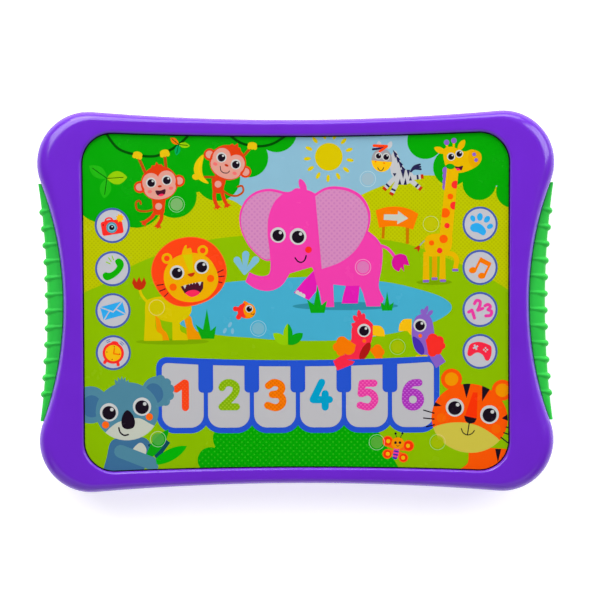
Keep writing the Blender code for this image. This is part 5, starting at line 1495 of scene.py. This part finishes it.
def make_rear_shell(material):
    """The rear casing, with its corners and its back edge cut more finely."""
    mesh = bmesh.new()
    mesh.from_mesh(NODES["rear_casing"].data)
    bmesh.ops.remove_doubles(mesh, verts=mesh.verts, dist=WELD)
    bmesh.ops.dissolve_limit(mesh, angle_limit=math.radians(0.3), verts=mesh.verts, edges=mesh.edges)
    cut_skin(mesh, 3, lambda low, high: high - low < SKIN_GAP)
    cut_skin(mesh, 2, lambda low, high: high - low >= SKIN_GAP and high <= BACK_EDGE + SKIN_GAP)
    made = smooth_piece("rear_shell", mesh, material)
    old_normals = made.data.attributes.get("custom_normal")
    if old_normals:
        made.data.attributes.remove(old_normals)
    made.modifiers.new("level_faces", "WEIGHTED_NORMAL").keep_sharp = True
    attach(made, "case")
    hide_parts("rear_casing")


def rib_height(y, across):
    """Height of the ribs at a place along the grip; across runs from 0 at the casing to 1 at the outside.

    Each rib is a fine ridge beside the casing and a round knob at the outside. Its upper edge is level,
    and its lower edge falls away.
    """
    half = RIB_HALF[0] + (RIB_HALF[1] - RIB_HALF[0]) * across ** RIB_HALF_POWER
    nearest = (math.floor(y / RIB_PITCH) + 0.5) * RIB_PITCH
    if abs(nearest) > RIB_PITCH * RIB_COUNT / 2:
        return 0.0
    offset = y - (nearest + RIB_HALF[0] - half + RIB_RAISE)
    if abs(offset) >= half:
        return 0.0
    crest = RIB_RISE[0] + (RIB_RISE[1] - RIB_RISE[0]) * across ** RIB_RISE_POWER
    return crest * math.sqrt(1 - (offset / half) ** 2) ** RIB_ROUNDNESS


def grip_ring(side, y):
    """The grip's section at a place along it: flat where it meets the casing, round outside."""
    reach = (abs(y) / GRIP_HALF) ** 2
    inner = case_side_x(y) + SEAM_GAP
    outer = GRIP_MIDDLE_X + (GRIP_TIP_X - GRIP_MIDDLE_X) * reach
    half_height = GRIP_HEIGHT[0] + (GRIP_HEIGHT[1] - GRIP_HEIGHT[0]) * reach
    ring = []
    for step in range(GRIP_STEPS + 1):
        angle = math.pi * (step / GRIP_STEPS - 0.5)
        swell = abs(math.cos(angle)) ** GRIP_ROUNDNESS
        rise = math.copysign(abs(math.sin(angle)) ** GRIP_ROUNDNESS, math.sin(angle))
        rib = rib_height(y, swell)
        place = inner + (outer - inner) * swell + rib * swell ** RIB_FADE
        height = GRIP_MIDDLE_Z + half_height * rise + rib * RIB_SPREAD * math.sin(angle)
        ring.append((side * place, y, height))
    return ring


def make_grip(name, side, material):
    mesh = bmesh.new()
    count = round(2 * GRIP_HALF / GRIP_PITCH)
    loft(mesh, [grip_ring(side, -GRIP_HALF + 2 * GRIP_HALF * step / count) for step in range(count + 1)],
         closed=False)
    made = smooth_piece(f"{name}_ribbed", mesh, material, sharp_degrees=50)
    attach(made, "case")
    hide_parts(name)


# ---------------------------------------------------------------- finishes of the pieces that stay


def dress(material, *names):
    for name in names:
        for slot in NODES[name].material_slots:
            slot.material = material


def lens_material():
    material, tree, shader = new_material("lens_resin")
    set_inputs(tree, shader, {
        "Base Color": (0.86, 0.88, 0.84, 1),
        "Roughness": spread(tree, noise(tree, 900, 4), 0.16, 0.3),
        "Transmission Weight": 0.35,
        "Normal": bump(tree, noise(tree, 600, 3), 0.2, 0.00002),
    })
    return material


def paper_material(name, tone):
    material, tree, shader = new_material(name)
    fibres = noise(tree, 1500, 8, (1, 0.35, 1))
    set_inputs(tree, shader, {
        "Base Color": shaded(tree, fibres, tone, 0.72),
        "Roughness": spread(tree, fibres, 0.78, 0.92),
        "Normal": bump(tree, fibres, 0.6, 0.00006),
    })
    return material


def cell_material():
    """Printed jacket of a cell: a dark body and a copper-coloured band at one end, with fine scuffs."""
    material, tree, shader = new_material("cell_jacket_print")
    along = add_node(tree, "SeparateXYZ", {"Vector": own_place(tree)}, "X")
    band = spread(tree, along, 0, 1, *CELL_BAND)
    scuffs = spread(tree, noise(tree, 300, 6), 0, 1)
    dark = blended(tree, scuffs, (0.035, 0.035, 0.04), (0.06, 0.06, 0.07))
    copper = blended(tree, scuffs, (0.48, 0.21, 0.08), (0.62, 0.3, 0.12))
    set_inputs(tree, shader, {
        "Base Color": blended(tree, band, dark, copper),
        "Roughness": spread(tree, noise(tree, 200, 5), 0.22, 0.42),
        "Coat Weight": 0.4,
        "Normal": bump(tree, noise(tree, 700, 4), 0.2, 0.00002),
    })
    return material


def dress_nodes():
    purple = plastic("purple_gloss_moulded", PURPLE, 0.2, coat=0.5, grain_depth=0.000006)
    dress(purple, "rear_casing", "battery_door")
    make_rear_shell(purple)
    dress(plastic("clear_film_stack", (0.62, 0.66, 0.68), 0.3), "membrane_upper", "membrane_lower")
    dress(plastic("spacer_stack", (0.5, 0.52, 0.5), 0.5), "membrane_spacer")
    dress(plastic("white_styrene", (0.68, 0.68, 0.66), 0.45), "support_plate", "switch_slider")
    dress(plastic("dark_styrene", (0.03, 0.03, 0.033), 0.5), "switch_body", "speaker_frame", "tail_clamp")
    dress(plastic("board_phenolic", (0.36, 0.2, 0.08), 0.55, shade=0.75, grain=1500, grain_depth=0.00004),
          "main_board")
    dress(plastic("chip_resin", (0.012, 0.012, 0.014), 0.28, grain=300, grain_depth=0.0001), "sound_chip")
    dress(lens_material(), *(f"led_{index + 1}" for index in range(len(SPOTS))))
    dress(paper_material("cone_pulp", (0.035, 0.035, 0.04)), "speaker_cone")
    dress(cell_material(), "cell_1", "cell_2", "cell_3")
    dress(metal("plated_spring_steel", (0.62, 0.62, 0.6), 0.28, (1, 6, 1)),
          "contact_plus", "contact_minus", "contact_bridge_left", "contact_bridge_right")
    dress(metal("zinc_plated_steel", (0.56, 0.57, 0.6), 0.3, (1, 1, 8)), "board_screw_1", "board_screw_2",
          "door_screw", *(f"case_screw_{index}" for index in range(1, 5)))
    dress(plastic("red_insulation", (0.5, 0.02, 0.02), 0.4), "lead_plus", "speaker_lead_red")
    dress(plastic("black_insulation", (0.02, 0.02, 0.02), 0.4), "lead_minus", "speaker_lead_black")


# ---------------------------------------------------------------- stage


def make_floor():
    mesh = bmesh.new()
    bmesh.ops.create_grid(mesh, x_segments=8, y_segments=8, size=FLOOR_HALF)
    data = bpy.data.meshes.new("studio_floor")
    mesh.to_mesh(data)
    mesh.free()
    material, tree, shader = new_material("studio_floor")
    set_inputs(tree, shader, {
        "Base Color": (0.86, 0.86, 0.86, 1),
        "Roughness": spread(tree, noise(tree, 6, 3), 0.66, 0.76),
        "Emission Color": (1, 1, 1, 1),
        "Emission Strength": FLOOR_GLOW,
    })
    data.materials.append(material)
    add_object("studio_floor", data)


def make_world():
    """A pale horizon under a room that is dark overhead, where the flat film would mirror it."""
    world = bpy.data.worlds.new("studio")
    world.use_nodes = True
    tree = world.node_tree
    place = add_node(tree, "TexCoord", {}, "Generated")
    height = add_node(tree, "SeparateXYZ", {"Vector": place}, "Z")
    light = spread(tree, height, ROOM_LIGHT, ROOM_LIGHT_ABOVE, *ROOM_FADE)
    set_inputs(tree, tree.nodes["Background"], {"Color": (1, 1, 1, 1), "Strength": light})
    bpy.context.scene.world = world


def area_light(name, place, width, height, watts):
    """A rectangular lamp that faces the tablet."""
    light = bpy.data.lights.new(name, "AREA")
    light.shape = "RECTANGLE"
    light.size = width
    light.size_y = height
    light.energy = watts
    made = add_object(name, light)
    made.location = place
    made.rotation_euler = (Vector(LIGHTS_AIM) - Vector(place)).to_track_quat("-Z", "Y").to_euler()


def make_lights():
    area_light("key_light", (-0.55, 0.75, 0.95), 0.9, 0.8, 10)
    area_light("fill_light", (0.95, 0.5, 0.8), 0.7, 0.8, 7.4)
    area_light("top_strip", (0, 1.1, 0.6), 1.4, 0.5, 9.5)
    area_light("front_light", (-0.1, -0.95, 0.75), 2.0, 1.1, 3.6)


def make_camera():
    """Nearly straight down on the panel, leaning over a little from its top edge."""
    lens = bpy.data.cameras.new("camera")
    lens.lens = CAMERA_LENS
    lens.sensor_width = CAMERA_SENSOR
    distance = CAMERA_SPAN * MM * lens.lens / lens.sensor_width
    made = add_object("camera", lens)
    lean, turn = (math.radians(degrees) for degrees in CAMERA_TILT)
    made.rotation_euler = (-lean, 0, turn)
    made.location = (CAMERA_AT[0] * MM, CAMERA_AT[1] * MM + distance * math.sin(lean),
                     CAMERA_FOCUS_Z * MM + distance * math.cos(lean))
    lens.clip_start = 0.01
    lens.clip_end = 20
    bpy.context.scene.camera = made


# ---------------------------------------------------------------- the whole

make_film()
make_front_shell(plastic("bezel_gloss", PURPLE, 0.2, coat=0.32, shade=0.94, grain_depth=0.000002, wear=0.04))
grip_rubber = plastic("grip_satin", GREEN, 0.5, grain=1400, grain_depth=0.00001, shine=0.2)
make_grip("left_grip", -1, grip_rubber)
make_grip("right_grip", 1, grip_rubber)
dress_nodes()
make_floor()
make_world()
make_lights()
make_camera()
bpy.context.scene.view_settings.view_transform = "Standard"
